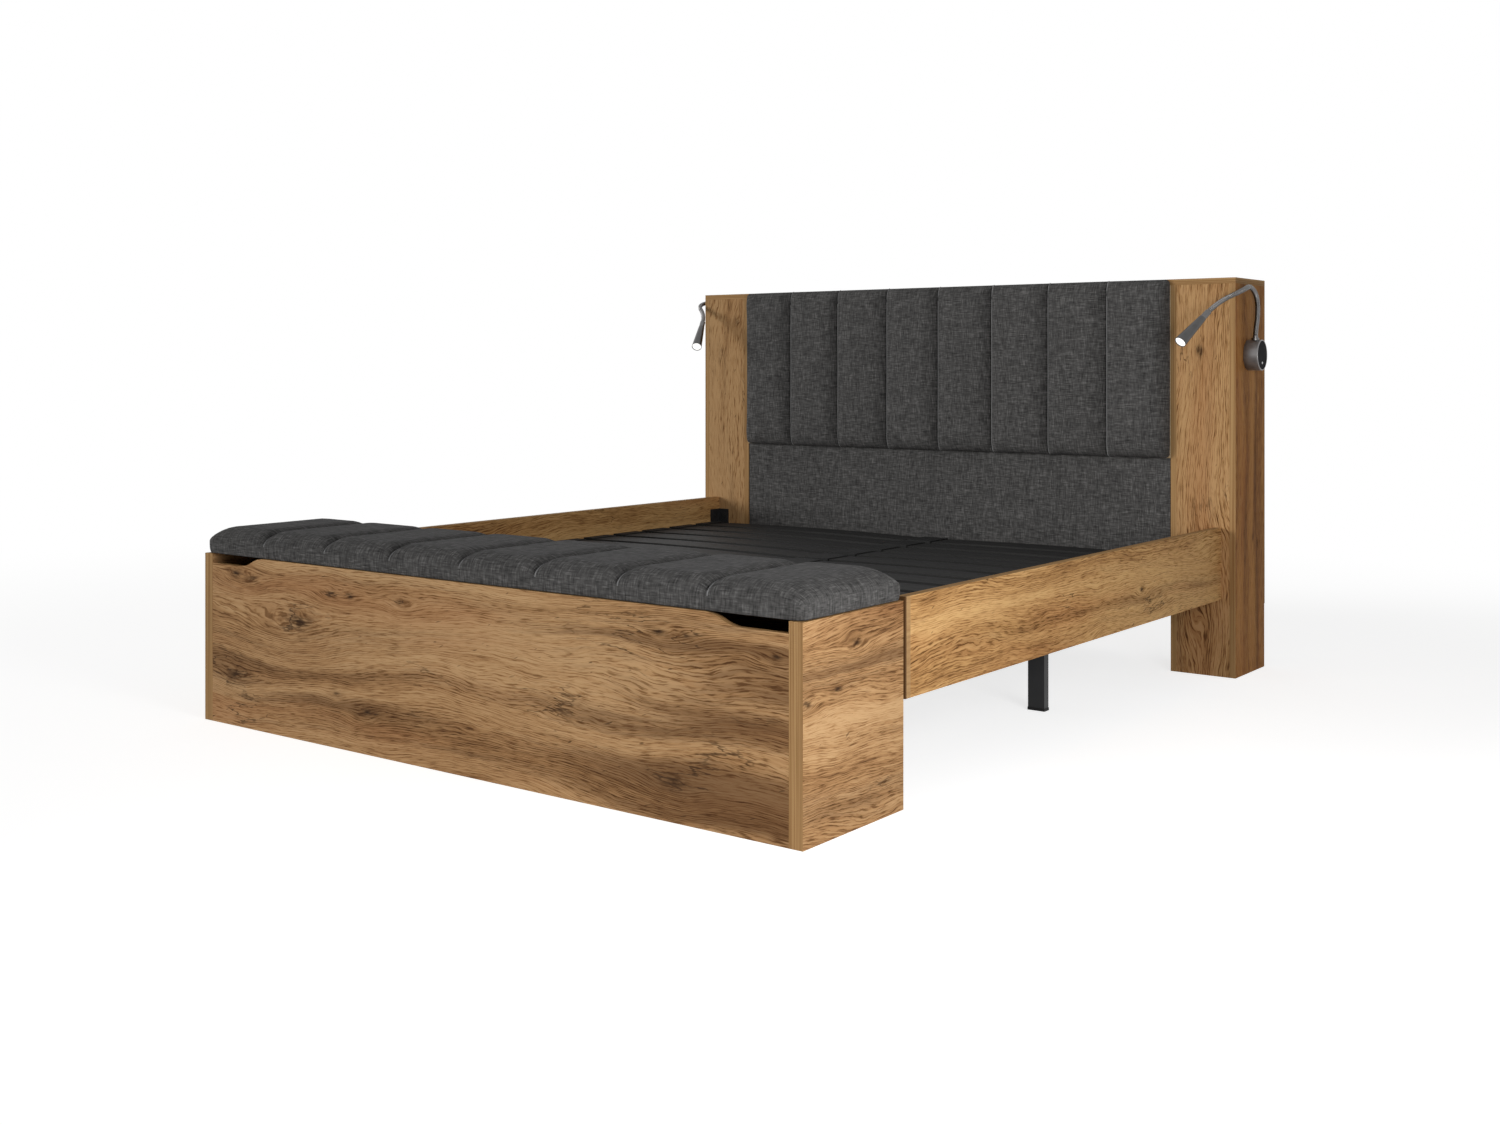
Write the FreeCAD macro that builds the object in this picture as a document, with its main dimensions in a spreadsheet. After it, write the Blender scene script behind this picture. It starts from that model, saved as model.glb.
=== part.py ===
import FreeCAD, Part
import math
import os
import re

import Sketcher

Placement = FreeCAD.Placement
Rotation = FreeCAD.Rotation
Vector = FreeCAD.Vector

# A double bed: headboard with padded back and two reading lamps, side rails,
# slatted base, and a storage bench with a padded lid at the foot.
# +X is the right side seen from the foot, +Y points to the headboard, +Z is up.
# The origin is on the floor, in the middle of the whole outline.

# Driving dimensions: millimetres and counts.
SIZES = {
    # Mattress and the play around it
    "mattress_width": 1800,
    "mattress_length": 2000,
    "side_play": 11,
    "length_play": 20,
    # Boards
    "board": 18,
    "back_thickness": 4,
    "dowel_radius": 4,
    "dowel_length": 32,
    "dowel_play": 0.1,
    "dowel_inset": 60,
    # Side rails
    "rail_thickness": 22,
    "rail_height": 220,
    "rail_top": 457,
    "rail_proud": 3,
    "rail_gap": 1.5,
    # Storage bench
    "bench_depth": 410,
    "bench_height": 449,
    "bench_side": 32,
    "bench_floor_height": 40,
    "notch_depth": 25,
    "notch_flat": 112,
    "notch_rise": 95,
    # Padded lid
    "lid_gap": 1.5,
    "lid_inset": 12,
    "lid_setback": 2,
    "lid_edge": 26,
    "lid_seam": 67,
    "lid_crown": 77,
    "lid_round": 95,
    "lid_channels": 8,
    "pad_gap": 0.3,
    "bumper_radius": 6,
    "bumper_thickness": 1.2,
    # Lid hinges
    "hinge_count": 3,
    "hinge_spacing": 600,
    "hinge_rise": 8,
    "leaf_thickness": 2,
    "leaf_half": 30,
    "leaf_height": 42,
    "leaf_depth": 28,
    "knuckle_radius": 4.5,
    "knuckle_half": 10,
    "knuckle_gap": 0.5,
    "pin_radius": 2.5,
    "pin_fit": 0.02,
    "pin_play": 0.06,
    # Small wood screws of the hinges
    "hinge_screw_radius": 2,
    "hinge_screw_head": 4,
    "hinge_screw_head_height": 1.6,
    "hinge_screw_length": 14,
    "hinge_screw_spread": 18,
    # Headboard
    "headboard_height": 1224,
    "headboard_depth": 280,
    "head_overhang": 42,
    "wing_width": 195,
    "stretcher_height": 100,
    "stretcher_floor": 200,
    "panel_bottom": 300,
    "panel_round": 5,
    # Padded back
    "back_bottom": 665,
    "back_edge": 16,
    "back_seam": 36,
    "back_crown": 47,
    "back_round": 55,
    "back_channels": 8,
    "panel_gap": 1.5,
    # Steel corner brackets, ledges and their screws
    "steel": 3,
    "bracket_width": 42,
    "bracket_leg": 60,
    "bracket_bottom": 250,
    "bracket_top": 413,
    "ledge_top": 305,
    "ledge_height": 35,
    "ledge_width": 30,
    "ledge_screws": 5,
    "fit_gap": 0.5,
    "screw_radius": 3,
    "screw_head": 7,
    "screw_head_height": 4,
    "screw_length": 16,
    "screw_play": 0.1,
    "screw_inset": 25,
    # Slat frame
    "tube_width": 25,
    "tube_height": 40,
    "tube_wall": 2,
    "frame_gap": 12,
    "beam_width": 40,
    "leg_bar_height": 40,
    "leg_from_head": 836,
    "leg_from_rail": 197,
    "leg_width": 47,
    "leg_depth": 28,
    "cap_height": 8,
    "cap_lip": 1,
    # Sprung slats in two rows
    "slat_count": 12,
    "slat_width": 122,
    "slat_thickness": 8,
    "slat_crown": 6,
    "slat_seat": 10,
    "slat_gap": 8,
    "slat_play": 0.2,
    "holder_depth": 34,
    "holder_wall": 4,
    # Reading lamps
    "lamp_height": 987,
    "lamp_from_front": 117,
    "lamp_radius": 47.5,
    "lamp_length": 43,
    "lamp_wall": 3,
    "lamp_fit": 0.2,
    "face_thickness": 4,
    "face_recess": 1,
    "button_radius": 4,
    "button_drop": 24,
    "button_proud": 1.8,
    "button_length": 9,
    "collar_radius": 11,
    "collar_above": 6,
    "collar_below": 8,
    "neck_radius": 7.5,
    "neck_bore": 3.5,
    "neck_play": 0.08,
    "neck_lap": 6,
    "rib_depth": 1.1,
    "rib_pitch": 4.2,
    "sleeve_radius": 9.5,
    "sleeve_length": 31,
    "sleeve_lap": 12,
    "head_length": 118,
    "head_rear_radius": 10.75,
    "head_front_radius": 18,
    "head_wall": 1.5,
    "lens_thickness": 3,
    "lens_recess": 1,
}

# Places worked out from the sizes, as formulas.
PLACES = {
    "rail_inner": "mattress_width / 2 + side_play",
    "rail_outer": "rail_inner + rail_thickness",
    "rail_bottom": "rail_top - rail_height",
    "bench_half": "rail_outer - rail_proud",
    "bench_inner": "bench_half - bench_side",
    "head_half": "rail_outer + head_overhang",
    "wing_inner": "head_half - wing_width",
    "foot_plane": "-(bench_depth + mattress_length + length_play + headboard_depth) / 2",
    "bench_rear": "foot_plane + bench_depth",
    "head_front": "bench_rear + mattress_length + length_play",
    "head_rear": "head_front + headboard_depth",
    "panel_rear": "head_rear - back_thickness",
    "panel_top": "headboard_height - board",
    "lid_bottom": "bench_height + lid_gap",
    "lid_top": "lid_bottom + board",
    "hinge_y": "bench_rear + knuckle_radius",
    "hinge_z": "bench_height + hinge_rise",
    "steel_face": "rail_inner - steel",
    "tube_inner": "steel_face - tube_width",
    "tube_top": "ledge_top + tube_height",
    "frame_foot": "bench_rear + frame_gap",
    "frame_head": "head_front - frame_gap",
    "leg_y": "head_front - leg_from_head",
    "leg_bar_top": "ledge_top - steel",
    "leg_bar_bottom": "leg_bar_top - leg_bar_height",
    "slat_end": "steel_face - holder_wall - slat_play",
    "slat_middle": "(slat_gap + slat_end) / 2",
    "slat_sweep": "((slat_end - slat_gap) ^ 2 / 4 + slat_crown ^ 2) / (2 * slat_crown)",
    "slat_end_top": "tube_top + slat_seat + slat_thickness",
    "slat_axis": "slat_end_top + slat_crown - slat_sweep",
    "slat_pitch": "(frame_head - frame_foot) / slat_count",
    "lamp_x": "head_half + lamp_length / 2",
    "lamp_y": "head_front + lamp_from_front",
    "lamp_face": "head_half + lamp_length - face_recess",
    "neck_root": "lamp_height + lamp_radius",
}

SIDES = {"left": -1, "right": 1}
ENDS = ("foot", "head")

# Bent route of a lamp neck from the top of its base: outwards, back and up, in millimetres.
NECK_ROUTE = [
    (0, 0, 24),
    (3, 16, 78),
    (3, 6, 138),
    (1, -54, 166),
    (-3, -120, 150),
    (-58, -176, 111),
    (-72, -208, 83),
]
# Largest share of a run that the arc at its end may take
ARC_SHARE = 0.45
# Parts of one rib's pitch: where its crest ends, its valley begins, and its valley ends
CREST_END = 0.5
VALLEY_START = 0.55
VALLEY_END = 0.95
# Where a pad's section is drawn over its rounded ends, as shares of the rounding
RIM_SHARES = (0, 0.06, 0.22, 0.5, 1.0)
# How far the crown of an outer channel leans to the rim, as a share of the channel's width
BULGE_SHIFT = 0.1

# Points nearer than this count as one
TOUCH = 0.001

UP = Vector(0, 0, 1)
ALONG_X = Vector(1, 0, 0)
ALONG_Y = Vector(0, 1, 0)

doc = FreeCAD.newDocument("double_bed")
sheet = doc.addObject("Spreadsheet::Sheet", "Sizes")
places = doc.addObject("App::VarSet", "Places")
nodes = []


# The document's own helpers

def formula(text):
    """Write each size as a cell of the sheet and each place as a property of Places."""
    def full_name(match):
        word = match.group()
        if word in SIZES:
            return "Sizes." + word
        if word in PLACES:
            return "Places." + word
        return word
    return re.sub(r"[a-z_]+", full_name, text)


def bind(thing, name, text):
    thing.setExpression(name, formula(text))


def size(name):
    """A size or place as a plain number, for shapes that are worked out in code."""
    if name in SIZES:
        return float(sheet.get(name))
    return float(getattr(places, name))


def fill_sheet():
    for row, (alias, number) in enumerate(SIZES.items(), 1):
        sheet.set(f"A{row}", alias)
        sheet.set(f"B{row}", str(number))
        sheet.setAlias(f"B{row}", alias)
    for name, text in PLACES.items():
        places.addProperty("App::PropertyFloat", name)
        bind(places, name, text)
    doc.recompute()


def keep(thing):
    """Count an object as a finished sub-part; its label names its file."""
    nodes.append(thing)
    return thing


def span(sign, near, far):
    """A stretch along X on the right side, or its mirror on the left."""
    if sign > 0:
        return near, far
    return f"-({far})", f"-({near})"


def box(name, x, y, z):
    """A block between two corners, given as a pair of formulas for each axis."""
    block = doc.addObject("Part::Box", name)
    for axis, side, (low, high) in zip("xyz", ("Length", "Width", "Height"), (x, y, z)):
        bind(block, side, f"({high}) - ({low})")
        bind(block, f"Placement.Base.{axis}", low)
    return block


def rod(name, radius, length, start, way):
    """A round bar from a start point, along a direction."""
    bar = doc.addObject("Part::Cylinder", name)
    bind(bar, "Radius", radius)
    bind(bar, "Height", length)
    bar.Placement = Placement(Vector(), Rotation(UP, way))
    for axis, text in zip("xyz", start):
        bind(bar, f"Placement.Base.{axis}", text)
    return bar


def group(name, things):
    bundle = doc.addObject("Part::Compound", name)
    bundle.Links = things
    return bundle


def cut(name, base, tool):
    result = doc.addObject("Part::Cut", name)
    result.Base = base
    result.Tool = tool
    return result


def fuse(name, things):
    result = doc.addObject("Part::MultiFuse", name)
    result.Shapes = things
    return result


def common(name, base, tool):
    result = doc.addObject("Part::Common", name)
    result.Base = base
    result.Tool = tool
    return result


def form(name, shape):
    """A sub-part whose shape is worked out in code."""
    thing = doc.addObject("Part::Feature", name)
    thing.Shape = shape
    return thing


def tube_box(name, x, y, z, axis):
    """A rectangular steel tube, open along one axis."""
    inside = []
    for letter, (low, high) in zip("xyz", (x, y, z)):
        if letter == axis:
            inside.append((low, high))
        else:
            inside.append((f"{low} + tube_wall", f"{high} - tube_wall"))
    return cut(name, box(f"{name}_outside", x, y, z), box(f"{name}_inside", *inside))


# Screws and dowels, with the bores that they need

def screw_places():
    """Start point under the head and direction of every screw in the bed frame."""
    found = []
    heights = ("bracket_bottom + screw_inset", "bracket_top - screw_inset")
    for sign in SIDES.values():
        face_x = f"{sign} * steel_face"
        flange_x = f"{sign} * (steel_face - (bracket_width - steel) / 2)"
        for end in ENDS:
            inward = 1 if end == "head" else -1
            wall = "head_front - steel" if end == "head" else "bench_rear + steel"
            leg_y = f"{wall} - {inward} * (bracket_leg - steel) / 2"
            for height in heights:
                found.append(((flange_x, wall, height), ALONG_Y * inward))
                found.append(((face_x, leg_y, height), ALONG_X * sign))
        for number in range(int(size("ledge_screws"))):
            share = f"({number} + 0.5) / ledge_screws"
            low = "(bench_rear + bracket_leg)"
            along = f"{low} + (head_front - bracket_leg - {low}) * {share}"
            middle = "ledge_top - steel - (ledge_height - steel) / 2"
            found.append(((face_x, along, middle), ALONG_X * sign))
    return found


def shifted(start, way, text):
    """A start point moved along its direction by a formula."""
    return tuple(f"{place} + ({part:g}) * ({text})" for place, part in zip(start, way))


def make_screws(name, spots, radius, head, head_height, length):
    """One group of equal pan-head screws."""
    screws = []
    for number, (start, way) in enumerate(spots):
        shank = rod(f"{name}_shank_{number}", radius, length, start, way)
        top = rod(f"{name}_head_{number}", head, head_height, shifted(start, way * -1, head_height), way)
        screws.append(fuse(f"{name}_{number}", [shank, top]))
    return group(name, screws)


def make_bores(name, spots, radius, length):
    return group(name, [rod(f"{name}_{number}", f"{radius} + screw_play", f"{length} + fit_gap", start, way)
                        for number, (start, way) in enumerate(spots)])


def dowel_places():
    """Start point and direction of every dowel: headboard top to sides, bench sides to front and back."""
    found = []
    for sign in SIDES.values():
        for panel in ("head_half - board / 2", "wing_inner + board / 2"):
            for along in ("head_front + dowel_inset", "panel_rear - dowel_inset"):
                found.append(((f"{sign} * ({panel})", along, "panel_top - dowel_length / 2"), UP))
        for along in ("foot_plane + board / 2", "bench_rear - board / 2"):
            for height in ("dowel_inset", "bench_height - notch_depth - dowel_inset"):
                start = f"{sign} * (bench_inner - dowel_length / 2)"
                found.append(((start, along, height), ALONG_X * sign))
    return found


def make_dowels():
    spots = dowel_places()
    dowels = [rod(f"dowel_{number}", "dowel_radius", "dowel_length", start, way)
              for number, (start, way) in enumerate(spots)]
    keep(group("dowels", dowels))
    bores = [rod(f"dowel_bore_{number}", "dowel_radius + dowel_play", "dowel_length + 2 * dowel_play",
                 shifted(start, way * -1, "dowel_play"), way)
             for number, (start, way) in enumerate(spots)]
    return group("dowel_bores", bores)


# Headboard

def make_headboard(dowel_bores, screw_bores):
    depth = ("head_front", "panel_rear")
    height = ("0", "panel_top")
    top_height = ("panel_top", "headboard_height")
    top = box("headboard_top_blank", ("-head_half", "head_half"), ("head_front", "head_rear"), top_height)
    keep(cut("headboard_top", top, dowel_bores))
    for side, sign in SIDES.items():
        outer = box(f"{side}_outer_blank", span(sign, "head_half - board", "head_half"), depth, height)
        keep(cut(f"{side}_outer_panel", outer, dowel_bores))
        inner = box(f"{side}_inner_blank", span(sign, "wing_inner", "wing_inner + board"), depth, height)
        keep(cut(f"{side}_inner_panel", inner, dowel_bores))
        front = box(f"{side}_wing_blank", span(sign, "wing_inner + board", "head_half - board"),
                    ("head_front", "head_front + board"), height)
        keep(cut(f"{side}_wing_front", front, screw_bores))
    keep(box("headboard_back", ("-head_half", "head_half"), ("panel_rear", "head_rear"),
             ("stretcher_floor", "panel_top")))
    across = ("-wing_inner", "wing_inner")
    rear = ("panel_rear - board", "panel_rear")
    low = box("lower_stretcher", across, rear, ("stretcher_floor", "stretcher_floor + stretcher_height"))
    high = box("upper_stretcher", across, rear, ("panel_top - stretcher_height", "panel_top"))
    keep(group("headboard_stretchers", [low, high]))
    keep(box("backrest_board", across, ("head_front", "head_front + board"), ("back_bottom", "panel_top")))


def front_edges(shape):
    """The four edges round the face that looks to the foot of the bed."""
    nearest = shape.BoundBox.YMin
    return [number for number, edge in enumerate(shape.Edges, 1)
            if all(abs(vertex.Y - nearest) < TOUCH for vertex in edge.Vertexes)]


def make_lower_panel():
    """Flat upholstered panel between the slats and the padded back."""
    blank = box("lower_panel_blank", ("-wing_inner + panel_gap", "wing_inner - panel_gap"),
                ("head_front", "head_front + board"), ("panel_bottom", "back_bottom - pad_gap"))
    doc.recompute()
    rounded = doc.addObject("Part::Fillet", "lower_panel")
    rounded.Base = blank
    radius = size("panel_round")
    rounded.Edges = [(number, radius, radius) for number in front_edges(blank.Shape)]
    keep(rounded)


# Padded forms

def round_over(distance, edge, full, radius):
    """Height of a padded edge at a distance in from the rim: a quarter ellipse, then level."""
    inside = min(distance / radius, 1.0)
    return edge + (full - edge) * math.sqrt(1 - (1 - inside) ** 2)


def stations(length, radius):
    """Distances along a pad where its section is drawn, closer together over the rounded ends."""
    rim = [radius * share for share in RIM_SHARES]
    return rim + [length / 2] + [length - distance for distance in reversed(rim)]


def crown_lean(seam, end):
    """How far an end lower than the seam draws the crown of its channel over."""
    return BULGE_SHIFT * (seam - end) / (seam + end)


def channel_arches(half, count, edge, seam, crown, point):
    """Arched faces of the channels side by side; the two outer ones come down to the rim."""
    width = 2 * half / count
    arches = []
    for number in range(count):
        start = -half + number * width
        first = edge if number == 0 else seam
        last = edge if number == count - 1 else seam
        top = start + width * (0.5 + crown_lean(seam, first) - crown_lean(seam, last))
        arches.append(Part.Arc(point(start, first), point(top, crown), point(start + width, last)))
    return arches


def channelled_pad(half, length, count, edge, seam, crown, radius, point):
    """A pad with sewn channels, crowned, with rounded rims on all four sides."""
    rim_lift = (crown - seam) / 2
    wires = []
    for along in stations(length, radius):
        rim = min(along, length - along)
        side_height = round_over(rim, edge, seam, radius)
        top_height = round_over(rim, edge + rim_lift, crown, radius)

        def here(across, up, along=along):
            return point(across, along, up)

        outline = channel_arches(half, count, edge, side_height, top_height, here)
        outline.append(Part.LineSegment(here(half, edge), here(half, 0)))
        outline.append(Part.LineSegment(here(half, 0), here(-half, 0)))
        outline.append(Part.LineSegment(here(-half, 0), here(-half, edge)))
        wires.append(Part.Wire([part.toShape() for part in outline]))
    return Part.makeLoft(wires, True, True)


def make_back_cushion():
    """Padded back: eight upright channels, standing proud of the headboard front."""
    face = size("head_front") - size("pad_gap")
    low = size("back_bottom")
    pad = channelled_pad(size("wing_inner") - size("panel_gap"), size("headboard_height") - low,
                         int(size("back_channels")), size("back_edge"), size("back_seam"),
                         size("back_crown"), size("back_round"),
                         lambda across, along, up: Vector(across, face - up, low + along))
    keep(form("backrest_cushion", pad))


def make_lid_cushion():
    """Padded lid top: eight channels across the bench, wrapped round the edges of the lid board."""
    front = size("foot_plane") + size("lid_setback")
    bottom = size("lid_bottom")
    depth = size("bench_rear") - size("pad_gap") - front
    pad = channelled_pad(size("bench_half") - size("lid_setback"), depth, int(size("lid_channels")),
                         size("lid_edge"), size("lid_seam"), size("lid_crown"), size("lid_round"),
                         lambda across, along, up: Vector(across, front + along, bottom + up))
    gap = size("pad_gap")
    inset = size("bench_half") - size("lid_inset") + gap
    start = size("foot_plane") + size("lid_inset") - gap
    hollow = Part.makeBox(2 * inset, size("bench_depth"), size("board") + gap, Vector(-inset, start, bottom))
    leaf_room = size("leaf_half") + gap
    leaf_start = size("bench_rear") - size("leaf_thickness") - size("leaf_depth") - gap
    leaf_height = size("leaf_thickness") + size("hinge_screw_head_height") + 2 * gap
    pockets = [Part.makeBox(2 * leaf_room, size("bench_depth"), leaf_height,
                            Vector(middle - leaf_room, leaf_start, size("lid_top")))
               for middle in hinge_middles()]
    keep(form("lid_cushion", pad.cut([hollow] + pockets)))


# Side rails and the steel that joins them

def make_rails(screw_bores):
    for side, sign in SIDES.items():
        rail = box(f"{side}_rail_blank", span(sign, "rail_inner", "rail_outer"),
                   ("bench_rear + rail_gap", "head_front"), ("rail_bottom", "rail_top"))
        keep(cut(f"{side}_rail", rail, screw_bores))


def make_brackets(screw_bores):
    """Angle brackets in the four corners of the mattress bay."""
    height = ("bracket_bottom", "bracket_top")
    brackets = []
    for end in ENDS:
        if end == "head":
            flange_y = ("head_front - steel", "head_front")
            leg_y = ("head_front - bracket_leg", "head_front - steel")
        else:
            flange_y = ("bench_rear", "bench_rear + steel")
            leg_y = ("bench_rear + steel", "bench_rear + bracket_leg")
        for side, sign in SIDES.items():
            name = f"{side}_{end}_bracket"
            flange_x = span(sign, "rail_inner - bracket_width", "rail_inner")
            flange = box(f"{name}_flange", flange_x, flange_y, height)
            leg = box(f"{name}_leg", span(sign, "steel_face", "rail_inner"), leg_y, height)
            brackets.append(cut(name, fuse(f"{name}_blank", [flange, leg]), screw_bores))
    keep(group("corner_brackets", brackets))


def make_ledges(screw_bores):
    """Steel angles on the rails that carry the slat frame."""
    along = ("bench_rear + bracket_leg + fit_gap", "head_front - bracket_leg - fit_gap")
    for side, sign in SIDES.items():
        upright = box(f"{side}_ledge_upright", span(sign, "steel_face", "rail_inner"), along,
                      ("ledge_top - ledge_height", "ledge_top"))
        shelf = box(f"{side}_ledge_shelf", span(sign, "rail_inner - ledge_width", "steel_face"), along,
                    ("ledge_top - steel", "ledge_top"))
        keep(cut(f"{side}_ledge", fuse(f"{side}_ledge_blank", [upright, shelf]), screw_bores))


# Slat frame

def make_slat_frame():
    height = ("ledge_top", "tube_top")
    for side, sign in SIDES.items():
        keep(tube_box(f"{side}_frame_tube", span(sign, "tube_inner", "steel_face"),
                      ("frame_foot", "frame_head"), height, "y"))
    across = ("-tube_inner", "tube_inner")
    keep(tube_box("foot_crossbar", across, ("frame_foot", "frame_foot + tube_width"), height, "x"))
    keep(tube_box("head_crossbar", across, ("frame_head - tube_width", "frame_head"), height, "x"))
    keep(tube_box("centre_beam", ("-beam_width / 2", "beam_width / 2"),
                  ("frame_foot + tube_width", "frame_head - tube_width"), ("leg_bar_top", "tube_top"), "y"))
    bar_half = "steel_face - fit_gap"
    leg_y = ("leg_y - leg_depth / 2", "leg_y + leg_depth / 2")
    bar_height = ("leg_bar_bottom", "leg_bar_top")
    keep(tube_box("leg_crossbar", (f"-({bar_half})", bar_half), leg_y, bar_height, "x"))


def make_legs():
    """Three equal tube legs under the leg crossbar, each with a plastic cap on the floor."""
    spots = {"left": "-(rail_inner - leg_from_rail)", "centre": "0", "right": "rail_inner - leg_from_rail"}
    along = ("leg_y - leg_depth / 2", "leg_y + leg_depth / 2")
    cap_along = ("leg_y - leg_depth / 2 - cap_lip", "leg_y + leg_depth / 2 + cap_lip")
    legs = []
    caps = []
    for name, middle in spots.items():
        across = (f"{middle} - leg_width / 2", f"{middle} + leg_width / 2")
        legs.append(tube_box(f"{name}_leg", across, along, ("cap_height", "leg_bar_bottom"), "z"))
        cap_across = (f"{across[0]} - cap_lip", f"{across[1]} + cap_lip")
        caps.append(box(f"{name}_leg_cap", cap_across, cap_along, ("0", "cap_height")))
    keep(group("support_legs", legs))
    keep(group("leg_caps", caps))


def slat_shell(name, sign, play):
    """A thin arched shell the length of the bay; slats are strips of it."""
    start = (f"{sign} * slat_middle", "bench_rear", "slat_axis")
    length = "mattress_length + length_play"
    outside = rod(f"{name}_outside", f"slat_sweep + {play}", length, start, ALONG_Y)
    inside = rod(f"{name}_inside", f"slat_sweep - slat_thickness - {play}", length, start, ALONG_Y)
    return cut(name, outside, inside)


def slat_row(name, x, z, margin):
    """One block for each slat of a row, wider than the slat by a margin on both sides."""
    blocks = []
    for number in range(int(size("slat_count"))):
        middle = f"frame_foot + slat_pitch * ({number} + 0.5)"
        y = (f"{middle} - slat_width / 2 - {margin}", f"{middle} + slat_width / 2 + {margin}")
        blocks.append(box(f"{name}_{number}", x, y, z))
    return group(name, blocks)


def make_slats():
    """Two rows of sprung slats; their ends sit in holders on the side tubes and the centre beam."""
    height = ("tube_top", "slat_end_top + 2 * slat_crown")
    holder_height = ("tube_top", "slat_end_top + holder_wall")
    slots = []
    holders = []
    for side, sign in SIDES.items():
        strips = slat_row(f"{side}_strips", span(sign, "slat_gap", "slat_end"), height, "0")
        keep(common(f"{side}_slats", slat_shell(f"{side}_shell", sign, "0"), strips))
        room_x = span(sign, "slat_gap - slat_play", "slat_end + slat_play")
        room = slat_row(f"{side}_rooms", room_x, height, "slat_play")
        slots.append(common(f"{side}_slots", slat_shell(f"{side}_slot_shell", sign, "slat_play"), room))
        blocks = slat_row(f"{side}_holder_blocks", span(sign, "slat_end - holder_depth", "steel_face"),
                          holder_height, "holder_wall")
        holders.append(cut(f"{side}_holders", blocks, slots[-1]))
    blocks = slat_row("centre_holder_blocks", ("-slat_gap - holder_depth", "slat_gap + holder_depth"),
                      holder_height, "holder_wall")
    holders.append(cut("centre_holders", blocks, group("slots", slots)))
    keep(group("slat_holders", holders))


# Storage bench

def make_bench(dowel_bores, screw_bores, hinge_bores):
    depth = ("foot_plane", "bench_rear")
    across = ("-bench_inner", "bench_inner")
    for side, sign in SIDES.items():
        panel_x = span(sign, "bench_inner", "bench_half")
        panel = box(f"{side}_bench_blank", panel_x, depth, ("0", "bench_height"))
        keep(cut(f"{side}_bench_side", panel, dowel_bores))
    keep(cut("bench_front", make_front_outline(), dowel_bores))
    back = box("bench_back_blank", across, ("bench_rear - board", "bench_rear"), ("0", "bench_height"))
    keep(cut("bench_back", back, group("bench_back_bores", [dowel_bores, screw_bores, hinge_bores])))
    keep(box("bench_floor", across, ("foot_plane + board", "bench_rear - board"),
             ("bench_floor_height", "bench_floor_height + board")))


def make_front_outline():
    """Front panel with a finger notch at each end of its top edge, an S-curve on the inner side."""
    half = size("bench_inner")
    top = size("bench_height")
    floor = top - size("notch_depth")
    flat_end = half - size("notch_flat")
    rise_end = flat_end - size("notch_rise")
    radius = (size("notch_rise") ** 2 + size("notch_depth") ** 2) / (4 * size("notch_depth"))
    turn = 2 * math.atan(size("notch_depth") / size("notch_rise"))
    quarter = math.pi / 2

    def line(start, stop):
        return Part.LineSegment(Vector(*start, 0), Vector(*stop, 0))

    def arc(centre, start, stop):
        return Part.ArcOfCircle(Part.Circle(Vector(*centre, 0), UP, radius), start, stop)

    body = doc.addObject("PartDesign::Body", "bench_front_blank")
    sketch = body.newObject("Sketcher::SketchObject", "bench_front_outline")
    plane = [feature for feature in body.Origin.OriginFeatures if feature.Role == "XZ_Plane"][0]
    sketch.AttachmentSupport = (plane, "")
    sketch.MapMode = "FlatFace"
    sketch.addGeometry([
        line((-half, 0), (half, 0)),
        line((half, 0), (half, floor)),
        line((half, floor), (flat_end, floor)),
        arc((flat_end, floor + radius), -quarter - turn, -quarter),
        arc((rise_end, top - radius), quarter - turn, quarter),
        line((rise_end, top), (-rise_end, top)),
        arc((-rise_end, top - radius), quarter, quarter + turn),
        arc((-flat_end, floor + radius), -quarter, -quarter + turn),
        line((-flat_end, floor), (-half, floor)),
        line((-half, floor), (-half, 0)),
    ])
    for first, second in ((0, 1), (1, 2), (8, 9), (9, 0)):
        sketch.addConstraint(Sketcher.Constraint("Coincident", first, 2, second, 1))
    for joint in ((2, 2, 3, 2), (3, 1, 4, 1), (4, 2, 5, 1), (5, 2, 6, 1), (6, 2, 7, 2), (7, 1, 8, 1)):
        sketch.addConstraint(Sketcher.Constraint("Tangent", *joint))
    for edge, way in ((1, "Vertical"), (2, "Horizontal"), (8, "Horizontal"), (9, "Vertical")):
        sketch.addConstraint(Sketcher.Constraint(way, edge))
    sketch.addConstraint(Sketcher.Constraint("Symmetric", 0, 1, 0, 2, -2))
    sketch.addConstraint(Sketcher.Constraint("PointOnObject", 0, 1, -1))
    sketch.addConstraint(Sketcher.Constraint("Symmetric", 2, 2, 8, 1, -2))
    sketch.addConstraint(Sketcher.Constraint("Symmetric", 4, 2, 5, 2, -2))
    sketch.addConstraint(Sketcher.Constraint("Equal", 3, 4))
    sketch.addConstraint(Sketcher.Constraint("Equal", 6, 7))
    measures = (
        ("DistanceX", (0, 1, 0, 2), 2 * half, "2 * bench_inner"),
        ("DistanceY", (1, 1, 1, 2), floor, "bench_height - notch_depth"),
        ("DistanceY", (2, 2, 5, 1), top - floor, "notch_depth"),
        ("DistanceX", (2, 2, 2, 1), size("notch_flat"), "notch_flat"),
        ("DistanceX", (5, 1, 2, 2), size("notch_rise"), "notch_rise"),
    )
    for kind, ends, number, text in measures:
        index = sketch.addConstraint(Sketcher.Constraint(kind, *ends, number))
        bind(sketch, f"Constraints[{index}]", text)
    pad = body.newObject("PartDesign::Pad", "bench_front_pad")
    pad.Profile = sketch
    pad.Reversed = True
    bind(pad, "Length", "board")
    bind(body, "Placement.Base.y", "foot_plane")
    return body


# Bench lid and its hinges

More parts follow.
